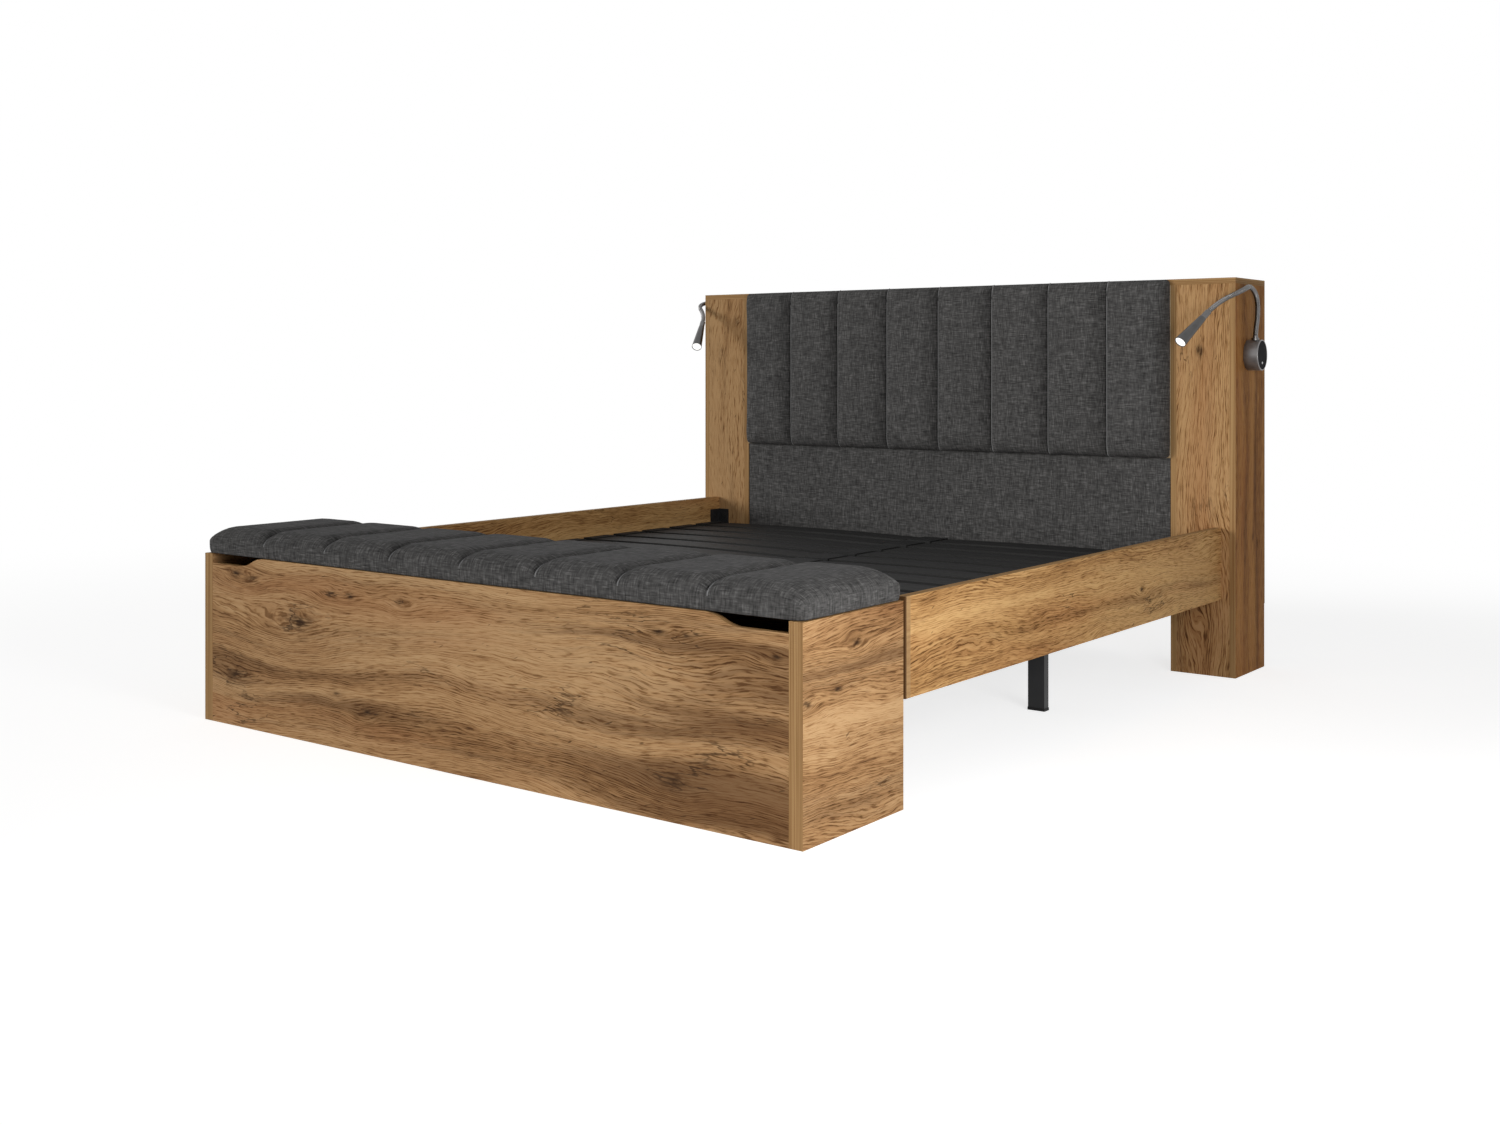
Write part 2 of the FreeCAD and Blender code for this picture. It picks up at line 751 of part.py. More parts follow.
def hinge_middles():
    count = int(size("hinge_count"))
    return [(number - (count - 1) / 2) * size("hinge_spacing") for number in range(count)]


def hinge_offsets():
    """The middle of each hinge along X, as formulas."""
    count = int(size("hinge_count"))
    return [f"(({number - (count - 1) / 2:g}) * hinge_spacing)" for number in range(count)]


def hinge_screw_places(which):
    found = []
    for middle in hinge_offsets():
        for sign in SIDES.values():
            across = f"{middle} + {sign} * hinge_screw_spread"
            if which == "fixed":
                height = "hinge_z - leaf_height + 2 * hinge_screw_head"
                found.append(((across, "bench_rear + leaf_thickness", height), ALONG_Y * -1))
            else:
                along = "bench_rear - leaf_thickness - leaf_depth / 2"
                found.append(((across, along, "lid_top + leaf_thickness"), UP * -1))
    return found


def make_hinges(fixed_bores, lid_bores):
    """Butt hinges behind the bench: a leaf on its back, a cranked leaf on the lid board, and a pin."""
    fixed = []
    moving = []
    pins = []
    for number, middle in enumerate(hinge_offsets()):
        across = (f"{middle} - leaf_half", f"{middle} + leaf_half")
        centre = (f"{middle} - knuckle_half", f"{middle} + knuckle_half")
        start = (across[0], "hinge_y", "hinge_z")
        pins.append(rod(f"hinge_pin_{number}", "pin_radius", "2 * leaf_half", start, ALONG_X))
        tight = rod(f"hinge_tight_bore_{number}", "pin_radius + pin_fit", "2 * leaf_half", start, ALONG_X)
        loose = rod(f"hinge_loose_bore_{number}", "pin_radius + pin_play", "2 * leaf_half", start, ALONG_X)
        fixed.append(make_fixed_leaf(f"fixed_leaf_{number}", across, centre, [tight, fixed_bores]))
        moving.append(make_moving_leaf(f"moving_leaf_{number}", across, centre, [loose, lid_bores]))
    keep(group("hinge_fixed_leaves", fixed))
    keep(group("hinge_lid_leaves", moving))
    keep(group("hinge_pins", pins))


def make_fixed_leaf(name, across, centre, bores):
    thick = ("bench_rear", "bench_rear + leaf_thickness")
    plate_top = "hinge_z - knuckle_radius - knuckle_gap"
    pieces = [box(f"{name}_plate", across, thick, ("hinge_z - leaf_height", plate_top))]
    outer_ends = ((across[0], f"{centre[0]} - knuckle_gap"), (f"{centre[1]} + knuckle_gap", across[1]))
    for number, ends in enumerate(outer_ends):
        pieces.append(box(f"{name}_lug_{number}", ends, thick, (plate_top, "hinge_z")))
        pieces.append(rod(f"{name}_knuckle_{number}", "knuckle_radius", f"({ends[1]}) - ({ends[0]})",
                          (ends[0], "hinge_y", "hinge_z"), ALONG_X))
    return cut(name, fuse(f"{name}_blank", pieces), group(f"{name}_bores", bores))


def make_moving_leaf(name, across, centre, bores):
    knuckle_top = "hinge_z + knuckle_radius"
    web = (f"{knuckle_top} - leaf_thickness", knuckle_top)
    upright = ("bench_rear - leaf_thickness", "bench_rear")
    flange = ("bench_rear - leaf_thickness - leaf_depth", "bench_rear")
    axis_start = (centre[0], "hinge_y", "hinge_z")
    pieces = [
        rod(f"{name}_knuckle", "knuckle_radius", "2 * knuckle_half", axis_start, ALONG_X),
        box(f"{name}_web", centre, ("bench_rear - leaf_thickness", "hinge_y"), web),
        box(f"{name}_upright", centre, upright, (web[0], "lid_top + leaf_thickness")),
        box(f"{name}_flange", across, flange, ("lid_top", "lid_top + leaf_thickness")),
    ]
    return cut(name, fuse(f"{name}_blank", pieces), group(f"{name}_bores", bores))


def make_lid(lid_bores):
    half = "bench_half - lid_inset"
    depth = ("foot_plane + lid_inset", "bench_rear - leaf_thickness")
    board = box("lid_board_blank", (f"-({half})", half), depth, ("lid_bottom", "lid_top"))
    keep(cut("lid_board", board, lid_bores))
    make_lid_cushion()
    bumpers = []
    for side, sign in SIDES.items():
        across = f"{sign} * (bench_inner + bumper_radius + lid_gap)"
        for end, along in (("foot", "foot_plane + dowel_inset"), ("head", "bench_rear - dowel_inset")):
            bumpers.append(rod(f"{side}_{end}_bumper", "bumper_radius", "bumper_thickness",
                               (across, along, "bench_height"), UP))
    keep(group("lid_bumpers", bumpers))


# Reading lamps

def rounded_path(points):
    """Straight runs joined by tangent arcs as large as the runs allow."""
    edges = []
    start = points[0]
    for before, corner, after in zip(points, points[1:], points[2:]):
        back = before - corner
        ahead = after - corner
        reach = ARC_SHARE * min(back.Length, ahead.Length)
        half_angle = back.getAngle(ahead) / 2
        back.normalize()
        ahead.normalize()
        radius = reach * math.tan(half_angle)
        inward = (back + ahead).normalize()
        middle = corner + inward * (radius / math.sin(half_angle) - radius)
        first = corner + back * reach
        last = corner + ahead * reach
        edges.append(Part.LineSegment(start, first).toShape())
        edges.append(Part.Arc(first, middle, last).toShape())
        start = last
    edges.append(Part.LineSegment(start, points[-1]).toShape())
    return edges


def along_path(edges, distance):
    """The point and direction at a distance along a path."""
    for edge in edges[:-1]:
        if distance <= edge.Length:
            break
        distance -= edge.Length
    else:
        edge = edges[-1]
    parameter = edge.getParameterByLength(min(distance, edge.Length))
    return edge.valueAt(parameter), edge.tangentAt(parameter)


def tube_along(edges, rings):
    """A ruled tube through circles, each given as a distance along the path and a radius."""
    wires = []
    for distance, radius in rings:
        point, way = along_path(edges, distance)
        circle = Part.Circle(point, way, radius)
        circle.XAxis = ALONG_X - way * way.dot(ALONG_X)
        wires.append(Part.Wire(circle.toShape()))
    return Part.makeLoft(wires, True, True)


def neck_points(sign):
    """Corners of the neck's route from collar to sleeve, where the sleeve starts, and the way it points."""
    root = Vector(sign * size("lamp_x"), size("lamp_y"), size("neck_root"))
    points = [root - UP * size("neck_lap")]
    for out, back, up in NECK_ROUTE:
        points.append(root + Vector(sign * out, back, up))
    way = (points[-1] - points[-2]).normalize()
    sleeve_start = points[-1]
    points[-1] = sleeve_start + way * size("sleeve_lap")
    return points, sleeve_start, way


def neck_tube(edges):
    """Ribbed flexible neck with a bore for its wires, plain at both ends."""
    crest = size("neck_radius")
    valley = crest - size("rib_depth")
    length = sum(edge.Length for edge in edges)
    first_rib = size("neck_lap") + size("collar_above") + crest
    last_rib = length - size("sleeve_lap") - crest
    count = int((last_rib - first_rib) / size("rib_pitch"))
    pitch = (last_rib - first_rib) / count
    rings = [(0, crest)]
    for number in range(count):
        start = first_rib + number * pitch
        rings += [(start, crest), (start + CREST_END * pitch, crest)]
        rings += [(start + VALLEY_START * pitch, valley), (start + VALLEY_END * pitch, valley)]
    rings += [(last_rib, crest), (length, crest)]
    bore_steps = 2 * count
    bore = [(length * step / bore_steps, size("neck_bore")) for step in range(bore_steps + 1)]
    return tube_along(edges, rings).cut(tube_along(edges, bore))


def make_lamp_base(side, sign):
    """Round housing on the outer side of the headboard, with its face, button and neck collar."""
    out = ALONG_X * sign
    wall = (f"{sign} * head_half", "lamp_y", "lamp_height")
    outside = rod(f"{side}_housing_outside", "lamp_radius", "lamp_length", wall, out)
    inside = rod(f"{side}_housing_inside", "lamp_radius - lamp_wall", "lamp_length",
                 shifted(wall, out, "lamp_wall"), out)
    over = (f"{sign} * lamp_x", "lamp_y", "neck_root - collar_below")
    tall = "collar_below + collar_above"
    opening = rod(f"{side}_collar_opening", "collar_radius + lamp_fit", tall, over, UP)
    keep(cut(f"{side}_lamp_housing", outside, fuse(f"{side}_housing_hollow", [inside, opening])))

    collar = rod(f"{side}_collar_outside", "collar_radius", tall, over, UP)
    collar_bore = rod(f"{side}_collar_bore", "neck_radius + neck_play", tall, over, UP)
    keep(cut(f"{side}_lamp_collar", collar, collar_bore))

    face_start = (f"{sign} * (lamp_face - face_thickness)", "lamp_y", "lamp_height")
    face = rod(f"{side}_face_blank", "lamp_radius - lamp_wall - lamp_fit", "face_thickness", face_start, out)
    button_x = f"{sign} * (lamp_face + button_proud - button_length)"
    button_start = (button_x, "lamp_y", "lamp_height - button_drop")
    hole = rod(f"{side}_button_hole", "button_radius + lamp_fit", "button_length", button_start, out)
    keep(cut(f"{side}_lamp_face", face, hole))
    keep(rod(f"{side}_lamp_button", "button_radius", "button_length", button_start, out))


def placed_cone(name, first_radius, last_radius, length, start, way):
    cone = doc.addObject("Part::Cone", name)
    bind(cone, "Radius1", first_radius)
    bind(cone, "Radius2", last_radius)
    bind(cone, "Height", length)
    cone.Placement = Placement(start, Rotation(UP, way))
    return cone


def placed_rod(name, radius, length, start, way):
    bar = doc.addObject("Part::Cylinder", name)
    bind(bar, "Radius", radius)
    bind(bar, "Height", length)
    bar.Placement = Placement(start, Rotation(UP, way))
    return bar


def make_lamp_head(side, start, way):
    """Sleeve on the end of the neck, then a conical shade with its lens."""
    sleeve = placed_rod(f"{side}_sleeve_outside", "sleeve_radius", "sleeve_length", start, way)
    socket = placed_rod(f"{side}_sleeve_socket", "neck_radius + lamp_fit", "sleeve_lap + lamp_fit",
                        start, way)
    keep(cut(f"{side}_lamp_sleeve", sleeve, socket))

    rear = start + way * size("sleeve_length")
    shade = placed_cone(f"{side}_shade_outside", "head_rear_radius", "head_front_radius",
                        "head_length", rear, way)
    inside_start = rear + way * size("head_wall")
    hollow = placed_cone(f"{side}_shade_inside", "head_rear_radius - head_wall",
                         "head_front_radius - head_wall", "head_length - head_wall", inside_start, way)
    keep(cut(f"{side}_lamp_head", shade, hollow))

    slope = "(head_front_radius - head_rear_radius) / (head_length - head_wall)"
    lens_front = f"head_front_radius - head_wall - lamp_fit - lens_recess * {slope}"
    lens_rear = f"{lens_front} - lens_thickness * {slope}"
    lens_start = rear + way * (size("head_length") - size("lens_recess") - size("lens_thickness"))
    keep(placed_cone(f"{side}_lamp_lens", lens_rear, lens_front, "lens_thickness", lens_start, way))


def make_lamps():
    """The right lamp's neck is drawn, and the left one is its mirror image."""
    necks = {"right": neck_tube(rounded_path(neck_points(SIDES["right"])[0]))}
    necks["left"] = necks["right"].mirror(Vector(), ALONG_X)
    for side, sign in SIDES.items():
        make_lamp_base(side, sign)
        keep(form(f"{side}_lamp_neck", necks[side]))
        make_lamp_head(side, *neck_points(sign)[1:])


# Whole bed

def make_bed():
    fill_sheet()
    frame_spots = screw_places()
    screw_bores = make_bores("screw_bores", frame_spots, "screw_radius", "screw_length")
    keep(make_screws("frame_screws", frame_spots, "screw_radius", "screw_head",
                     "screw_head_height", "screw_length"))
    dowel_bores = make_dowels()
    hinge_bores = {}
    for which in ("fixed", "lid"):
        spots = hinge_screw_places(which)
        hinge_bores[which] = make_bores(f"{which}_hinge_bores", spots,
                                        "hinge_screw_radius", "hinge_screw_length")
        keep(make_screws(f"hinge_{which}_screws", spots, "hinge_screw_radius", "hinge_screw_head",
                         "hinge_screw_head_height", "hinge_screw_length"))
    make_headboard(dowel_bores, screw_bores)
    make_lower_panel()
    make_back_cushion()
    make_rails(screw_bores)
    make_brackets(screw_bores)
    make_ledges(screw_bores)
    make_slat_frame()
    make_legs()
    make_slats()
    make_bench(dowel_bores, screw_bores, hinge_bores["fixed"])
    make_lid(hinge_bores["lid"])
    make_hinges(hinge_bores["fixed"], hinge_bores["lid"])
    make_lamps()
    doc.recompute()


def check_bed():
    """Stop if any object failed, or any sub-part has no sound shape."""
    for thing in doc.Objects:
        if "Invalid" in thing.State or "Error" in thing.State:
            raise RuntimeError(f"{thing.Label} failed: {thing.State}")
    for node in nodes:
        if node.Shape.isNull() or not node.Shape.isValid() or not node.Shape.Solids:
            raise RuntimeError(f"{node.Label} has no sound shape")


def write_bed():
    os.makedirs("parts", exist_ok=True)
    for node in nodes:
        node.Shape.exportStep(f"parts/{node.Label}.step")
        print(node.Label, len(node.Shape.Solids), round(node.Shape.Volume))


make_bed()
check_bed()
write_bed()
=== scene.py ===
import math

import bmesh
import bpy
import numpy as np
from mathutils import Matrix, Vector


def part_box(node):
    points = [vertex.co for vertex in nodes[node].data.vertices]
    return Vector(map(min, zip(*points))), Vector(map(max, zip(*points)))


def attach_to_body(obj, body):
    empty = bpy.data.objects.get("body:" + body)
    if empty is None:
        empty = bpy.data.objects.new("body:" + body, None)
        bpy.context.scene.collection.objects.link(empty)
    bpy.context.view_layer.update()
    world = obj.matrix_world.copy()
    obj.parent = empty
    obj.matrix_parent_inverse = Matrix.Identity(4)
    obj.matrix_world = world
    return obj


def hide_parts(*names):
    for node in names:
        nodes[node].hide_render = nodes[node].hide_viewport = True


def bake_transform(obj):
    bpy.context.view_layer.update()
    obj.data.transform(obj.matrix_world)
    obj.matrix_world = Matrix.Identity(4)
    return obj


# A double bed in oak decor and charcoal fabric. All lengths are metres, in the frame's own axes:
# +X to the right seen from the foot, +Y to the headboard, +Z up.
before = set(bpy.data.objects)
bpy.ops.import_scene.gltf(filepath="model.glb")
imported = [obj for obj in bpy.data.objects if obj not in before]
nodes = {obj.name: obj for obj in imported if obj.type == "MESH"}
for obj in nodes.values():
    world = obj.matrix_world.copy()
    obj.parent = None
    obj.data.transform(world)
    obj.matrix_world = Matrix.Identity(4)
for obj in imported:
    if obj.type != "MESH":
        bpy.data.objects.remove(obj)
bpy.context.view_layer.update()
scene = bpy.context.scene

SIDES = {"left": -1, "right": 1}
AXES = ("X", "Y", "Z")
UP = Vector((0, 0, 1))
TO_FOOT = Vector((0, -1, 0))
WHITE = (1, 1, 1, 1)


# Node trees

class Nodes:
    """Short calls that build the node tree of one material or world."""

    def __init__(self, owner):
        self.owner = owner
        owner.use_nodes = True
        self.tree = owner.node_tree
        self.tree.nodes.clear()

    def add(self, kind, inputs=None, **settings):
        node = self.tree.nodes.new("ShaderNode" + kind)
        for key, value in settings.items():
            setattr(node, key, value)
        for key, value in (inputs or {}).items():
            self.plug(node.inputs[key], value)
        return node

    def plug(self, socket, value):
        if isinstance(value, bpy.types.NodeSocket):
            self.tree.links.new(value, socket)
        else:
            socket.default_value = value

    def math(self, operation, first, second=0.0):
        return self.add("Math", {0: first, 1: second}, operation=operation).outputs[0]

    def add_up(self, first, *others):
        for other in others:
            first = self.math("ADD", first, other)
        return first

    def scaled(self, value, factor):
        return self.math("MULTIPLY", value, factor)

    def bell(self, square, fall):
        """1 where the square of a distance is zero, falling away from there."""
        return self.math("EXPONENT", self.scaled(square, -fall))

    def vector(self, x, y, z=0.0):
        return self.add("CombineXYZ", {0: x, 1: y, 2: z}).outputs[0]

    def vector_math(self, operation, first, second=(0, 0, 0)):
        return self.add("VectorMath", {0: first, 1: second}, operation=operation).outputs

    def split(self, vector):
        return self.add("SeparateXYZ", {0: vector}).outputs

    def place(self):
        """The three coordinates of a point in the bed's own frame."""
        return self.split(self.add("TexCoord").outputs["Object"])

    def scaled_place(self, cycles):
        """A point in the bed's own frame, with so many noise cycles per metre along each axis."""
        return self.vector(*[self.scaled(part, count) for part, count in zip(self.place(), cycles)])

    def noise(self, vector, detail=2.0, roughness=0.5):
        inputs = {"Vector": vector, "Scale": 1.0, "Detail": detail, "Roughness": roughness}
        return self.add("TexNoise", inputs).outputs["Fac"]

    def step(self, value, low, high, start=0.0, stop=1.0):
        """Go smoothly from start to stop while the value goes from low to high."""
        inputs = {"Value": value, "From Min": low, "From Max": high, "To Min": start, "To Max": stop}
        return self.add("MapRange", inputs, interpolation_type="SMOOTHSTEP").outputs[0]

    def mix(self, factor, first, second, blend="MIX"):
        node = self.add("Mix", {0: factor, 6: first, 7: second}, data_type="RGBA", blend_type=blend)
        return node.outputs[2]

    def ramp(self, value, stops):
        node = self.add("ValToRGB", {0: value})
        ramp = node.color_ramp
        while len(ramp.elements) < len(stops):
            ramp.elements.new(1.0)
        for element, (place, colour) in zip(ramp.elements, stops):
            element.position = place
            element.color = (*colour, 1.0)
        return node.outputs[0]

    def bump(self, height, distance, strength):
        inputs = {"Height": height, "Distance": distance, "Strength": strength}
        return self.add("Bump", inputs).outputs[0]

    def finish(self, kind, shader):
        output = self.add("Output" + kind)
        self.tree.links.new(shader, output.inputs["Surface"])
        return self.owner

    def surface(self, inputs):
        return self.finish("Material", self.add("BsdfPrincipled", inputs).outputs[0])


def material_nodes(name):
    return Nodes(bpy.data.materials.new(name))


# Oak decor

OAK_STOPS = [
    (0.0, (0.085, 0.038, 0.015)),
    (0.25, (0.185, 0.091, 0.037)),
    (0.50, (0.305, 0.163, 0.069)),
    (0.75, (0.425, 0.245, 0.111)),
    (1.0, (0.530, 0.333, 0.166)),
]
OAK_EDGE = [
    (0.30, (0.190, 0.095, 0.034)),
    (0.5, (0.350, 0.203, 0.086)),
    (0.72, (0.480, 0.305, 0.142)),
]
OAK_STRIP = [(0.3, (0.300, 0.172, 0.075)), (0.7, (0.430, 0.268, 0.125))]
# Dark line painted as the shadow in the gap at a rail's bench end
GAP_SHADOW = (0.090, 0.045, 0.018, 1)
# Tints laid over the print: reddish streaks, brown streaks and patches, and the stain round a knot
RED_TINT = (0.80, 0.62, 0.56, 1)
BROWN_TINT = (0.36, 0.31, 0.29, 1)
STAIN_TINT = (0.34, 0.28, 0.25, 1)
KNOT = (0.035, 0.018, 0.009, 1)
CRACK = (0.050, 0.026, 0.013, 1)
GRAIN_PITCH = 0.0062
# How far one seed moves a board's print along its grain and across it
SEED_SHIFT = (7.31, 2.17)

# Noise of each layer of the print: cycles per metre along the grain and across it, detail, shift
LAYERS = {
    "slow_wave": (1.3, 4.6, 1.0, 0.0),
    "wave": (5.0, 13.0, 2.0, 3.0),
    "quick_wave": (34.0, 46.0, 2.0, 16.0),
    "line_strength": (1.6, 7.0, 2.0, 6.0),
    "pores": (24.0, 520.0, 2.0, 2.0),
    "threads": (7.0, 330.0, 3.0, 18.0),
    "streaks": (0.45, 15.0, 4.0, 1.0),
    "clouds": (1.2, 3.0, 2.0, 8.0),
    "fibre": (7.0, 130.0, 4.0, 5.0),
    "red": (0.8, 7.0, 2.0, 9.0),
    "brown": (0.9, 17.0, 5.0, 4.0),
    "ragged": (24.0, 170.0, 4.0, 0.0),
    "cracks": (5.5, 34.0, 4.0, 7.0),
    "cracked_places": (2.4, 6.5, 2.0, 11.0),
    "ticks": (26.0, 150.0, 1.0, 13.0),
}
# How far each wave bends the lines of the grain
WAVE_REACH = {"slow_wave": 0.140, "wave": 0.026, "quick_wave": 0.0030}
# How a layer takes effect: from a low value to a high one, between a first share and a last
EFFECTS = {
    "line_strength": (0.34, 0.62, 0.20, 1.0),
    "pores": (0.47, 0.67, 0.0, 1.0),
    "red": (0.48, 0.70, 0.0, 0.50),
    "brown": (0.70, 1.04, 0.0, 0.92),
    "halo": (0.38, 0.66, 0.0, 0.90),
    "heart": (0.32, 0.55, 0.25, 1.0),
    "cracks": (0.0, 0.020, 1.0, 0.0),
    "cracked_places": (0.58, 0.70, 0.0, 1.0),
    "ticks": (0.70, 0.78, 0.0, 1.0),
    "tick_clouds": (0.44, 0.60, 0.0, 1.0),
    "roughness": (0.2, 0.9, 0.52, 0.70),
}
# Shares of the layers in the tone of the wood, and the tones that are darkest and lightest
CLOUD_SHARE = 0.55
FIBRE_SHARE = 0.70
THREAD_SHARE = 0.60
LINE_SHARE = 0.03
PORE_SHARE = 0.30
DARKEST_TONE = 0.72
LIGHTEST_TONE = 1.70
# How much the lines gather the pores, and how much fibres and pores break up the brown streaks
PORE_GATHER = 0.055
BROWN_FIBRE = 0.32
BROWN_PORES = 0.10

# Knots: shortening along the grain, how quickly heart, halo and parting of the lines fall away from
# the middle, and how far the lines bend and slacken there
KNOT_STRETCH = 0.45
HEART_FALL = 2.6
HALO_FALL = 0.35
PARTING_FALL = 0.10
PARTING_BEND = 0.7
PARTING_SLACK = 0.75
KNOT_SMEAR = 0.35
# Most that each kind of mark may cover
HALO_COVER = 0.9
HEART_COVER = 0.95
CRACK_COVER = 0.85
TICK_COVER = 0.75
# How much knots and brown patches add to the places with cracks, and the slant of the short ticks
CRACKS_BY_HALO = 0.20
CRACKS_BY_PATCH = 0.35
TICK_SLANT = (0.70, 0.34)
# Edge banding: noise cycles per metre along a board and through it
BANDING_ALONG = 1.6
BANDING_THROUGH = 520.0
BROAD_FACE = 0.6


def knot_fields(n, flat, marks):
    """Dark heart, brown halo and swelling of the grain round each knot of a board."""
    heart = halo = swelling = 0.0
    for along, across, radius in marks:
        away = n.vector_math("SUBTRACT", flat, (along, across, 0))[0]
        near = n.vector_math("MULTIPLY", away, (KNOT_STRETCH / radius, 1 / radius, 0))[0]
        square = n.vector_math("DOT_PRODUCT", near, near)["Value"]
        heart = n.add_up(heart, n.bell(square, HEART_FALL))
        halo = n.add_up(halo, n.bell(square, HALO_FALL))
        # The lines part round the knot: less change across it, and a little bend to one side
        slack = n.scaled(n.split(away)[1], PARTING_SLACK)
        part = n.math("SUBTRACT", PARTING_BEND * radius, slack)
        swelling = n.add_up(swelling, n.math("MULTIPLY", n.bell(square, PARTING_FALL), part))
    return heart, halo, swelling


def patch_field(n, u, v, patches):
    """Brown patches: middle along and across the grain, half length, half width, slope and strength."""
    field = 0.0
    for along, across, length, width, slope, strength in patches:
        near_u = n.scaled(n.math("SUBTRACT", u, along), 1 / length)
        off_v = n.math("SUBTRACT", n.math("SUBTRACT", v, across), n.scaled(u, slope))
        near_v = n.scaled(off_v, 1 / width)
        square = n.add_up(n.math("MULTIPLY", near_u, near_u), n.math("MULTIPLY", near_v, near_v))
        field = n.add_up(field, n.scaled(n.bell(square, 1.0), strength))
    return field


class Oak:
    """Knotty oak print of one board: its grain runs along one axis of the bed."""

    def __init__(self, name, grain, across, seed, marks, patches):
        n = self.n = material_nodes(name)
        self.seed = seed
        grain_axis, across_axis = AXES.index(grain), AXES.index(across)
        self.thick_axis = 3 - grain_axis - across_axis
        place = n.place()
        self.u, self.v, self.thick = place[grain_axis], place[across_axis], place[self.thick_axis]
        self.far_u = n.math("ADD", self.u, SEED_SHIFT[0] * seed)
        self.far_v = n.math("ADD", self.v, SEED_SHIFT[1] * seed)
        self.heart, self.halo, swelling = knot_fields(n, n.vector(self.u, self.v), marks)
        self.patched = patch_field(n, self.u, self.v, patches)
        # Rings: the lines of the grain, bent by slow and quick waves and pushed apart by the knots
        waves = [self.sway(wave) for wave in WAVE_REACH]
        self.ring = n.add_up(self.far_v, waves[0], swelling, *waves[1:])
        self.fibre = self.layer("fibre", self.ring)
        self.clouds = self.layer("clouds", self.far_v)

    def layer(self, name, lines, run=None, roughness=0.5):
        """Noise of a layer over the lines of the grain, and along the grain or another run."""
        n = self.n
        along, over, detail, shift = LAYERS[name]
        run = self.far_u if run is None else run
        place = n.vector(n.scaled(run, along), n.scaled(lines, over), self.seed + shift)
        return n.noise(place, detail, roughness)

    def sway(self, wave):
        level = self.n.math("SUBTRACT", self.layer(wave, self.far_v), 0.5)
        return self.n.scaled(level, WAVE_REACH[wave])

    def effect(self, name, value):
        return self.n.step(value, *EFFECTS[name])

    def clear_wood(self, hard):
        """Streaks, clouds and fibres, with short pores that gather in rows along the rings."""
        n = self.n
        wave = n.math("SINE", n.scaled(self.ring, 2 * math.pi / GRAIN_PITCH))
        strength = self.effect("line_strength", self.layer("line_strength", self.far_v))
        lines = n.math("MULTIPLY", wave, strength)
        pore_noise = n.add_up(self.layer("pores", self.ring), n.scaled(lines, PORE_GATHER))
        self.pores = self.effect("pores", pore_noise)
        tone = n.add_up(
            self.layer("streaks", self.ring),
            n.scaled(self.clouds, CLOUD_SHARE),
            n.scaled(self.fibre, FIBRE_SHARE),
            n.scaled(self.layer("threads", self.ring), THREAD_SHARE),
            n.scaled(lines, -LINE_SHARE),
            n.scaled(self.pores, -PORE_SHARE),
        )
        colour = n.ramp(n.step(tone, DARKEST_TONE + hard, LIGHTEST_TONE - hard), OAK_STOPS)
        red = self.effect("red", self.layer("red", self.ring))
        colour = n.mix(red, colour, RED_TINT, "MULTIPLY")
        brown = n.add_up(
            self.layer("brown", self.ring),
            self.patched,
            n.scaled(self.fibre, BROWN_FIBRE),
            n.scaled(self.pores, BROWN_PORES),
        )
        return n.mix(self.effect("brown", brown), colour, BROWN_TINT, "MULTIPLY")

    def with_knots(self, colour, smear):
        """Knots smeared along the grain."""
        n = self.n
        ragged = self.layer("ragged", smear, roughness=0.6)
        halo = n.math("MULTIPLY", self.halo, self.effect("halo", ragged))
        colour = n.mix(n.math("MINIMUM", halo, HALO_COVER), colour, STAIN_TINT, "MULTIPLY")
        heart = n.math("MULTIPLY", self.heart, self.effect("heart", ragged))
        return n.mix(n.math("MINIMUM", heart, HEART_COVER), colour, KNOT)

    def with_cracks(self, colour, smear):
        """Fine cracks, most of them near knots and brown patches, and short slanting ticks."""
        n = self.n
        off_middle = n.math("ABSOLUTE", n.math("SUBTRACT", self.layer("cracks", smear), 0.5))
        places = n.add_up(
            self.layer("cracked_places", self.far_v),
            n.scaled(self.halo, CRACKS_BY_HALO),
            n.scaled(self.patched, CRACKS_BY_PATCH),
        )
        places = self.effect("cracked_places", places)
        self.cracks = n.math("MULTIPLY", self.effect("cracks", off_middle), places)
        colour = n.mix(n.scaled(self.cracks, CRACK_COVER), colour, CRACK)
        lean_u = n.add_up(self.far_u, n.scaled(self.far_v, TICK_SLANT[0]))
        lean_v = n.math("SUBTRACT", self.far_v, n.scaled(self.far_u, TICK_SLANT[1]))
        ticks = self.effect("ticks", self.layer("ticks", lean_v, lean_u))
        ticks = n.math("MULTIPLY", ticks, self.effect("tick_clouds", self.clouds))
        return n.mix(n.scaled(ticks, TICK_COVER), colour, CRACK)

    def with_banding(self, colour, strip_and_gap_shadow):
        """Banding on every face that isn't a broad one; the end places give a dark line painted as the
        shadow of a gap, and a plain strip.
        """
        n = self.n
        along, over = n.scaled(self.u, BANDING_ALONG), n.scaled(self.v, BANDING_ALONG)
        banding = n.noise(n.vector(along, n.scaled(self.thick, BANDING_THROUGH), over), 3.0, 0.6)
        normal = n.split(n.add("NewGeometry").outputs["Normal"])[self.thick_axis]
        on_face = n.math("GREATER_THAN", n.math("ABSOLUTE", normal), BROAD_FACE)
        if strip_and_gap_shadow:
            in_strip = n.math("LESS_THAN", self.u, strip_and_gap_shadow[1])
            colour = n.mix(in_strip, colour, n.ramp(self.fibre, OAK_STRIP))
        colour = n.mix(on_face, n.ramp(banding, OAK_EDGE), colour)
        # The dark line at the rail's end is painted shadow of the gap
        if strip_and_gap_shadow:
            colour = n.mix(n.math("LESS_THAN", self.u, strip_and_gap_shadow[0]), colour, GAP_SHADOW)
        return colour

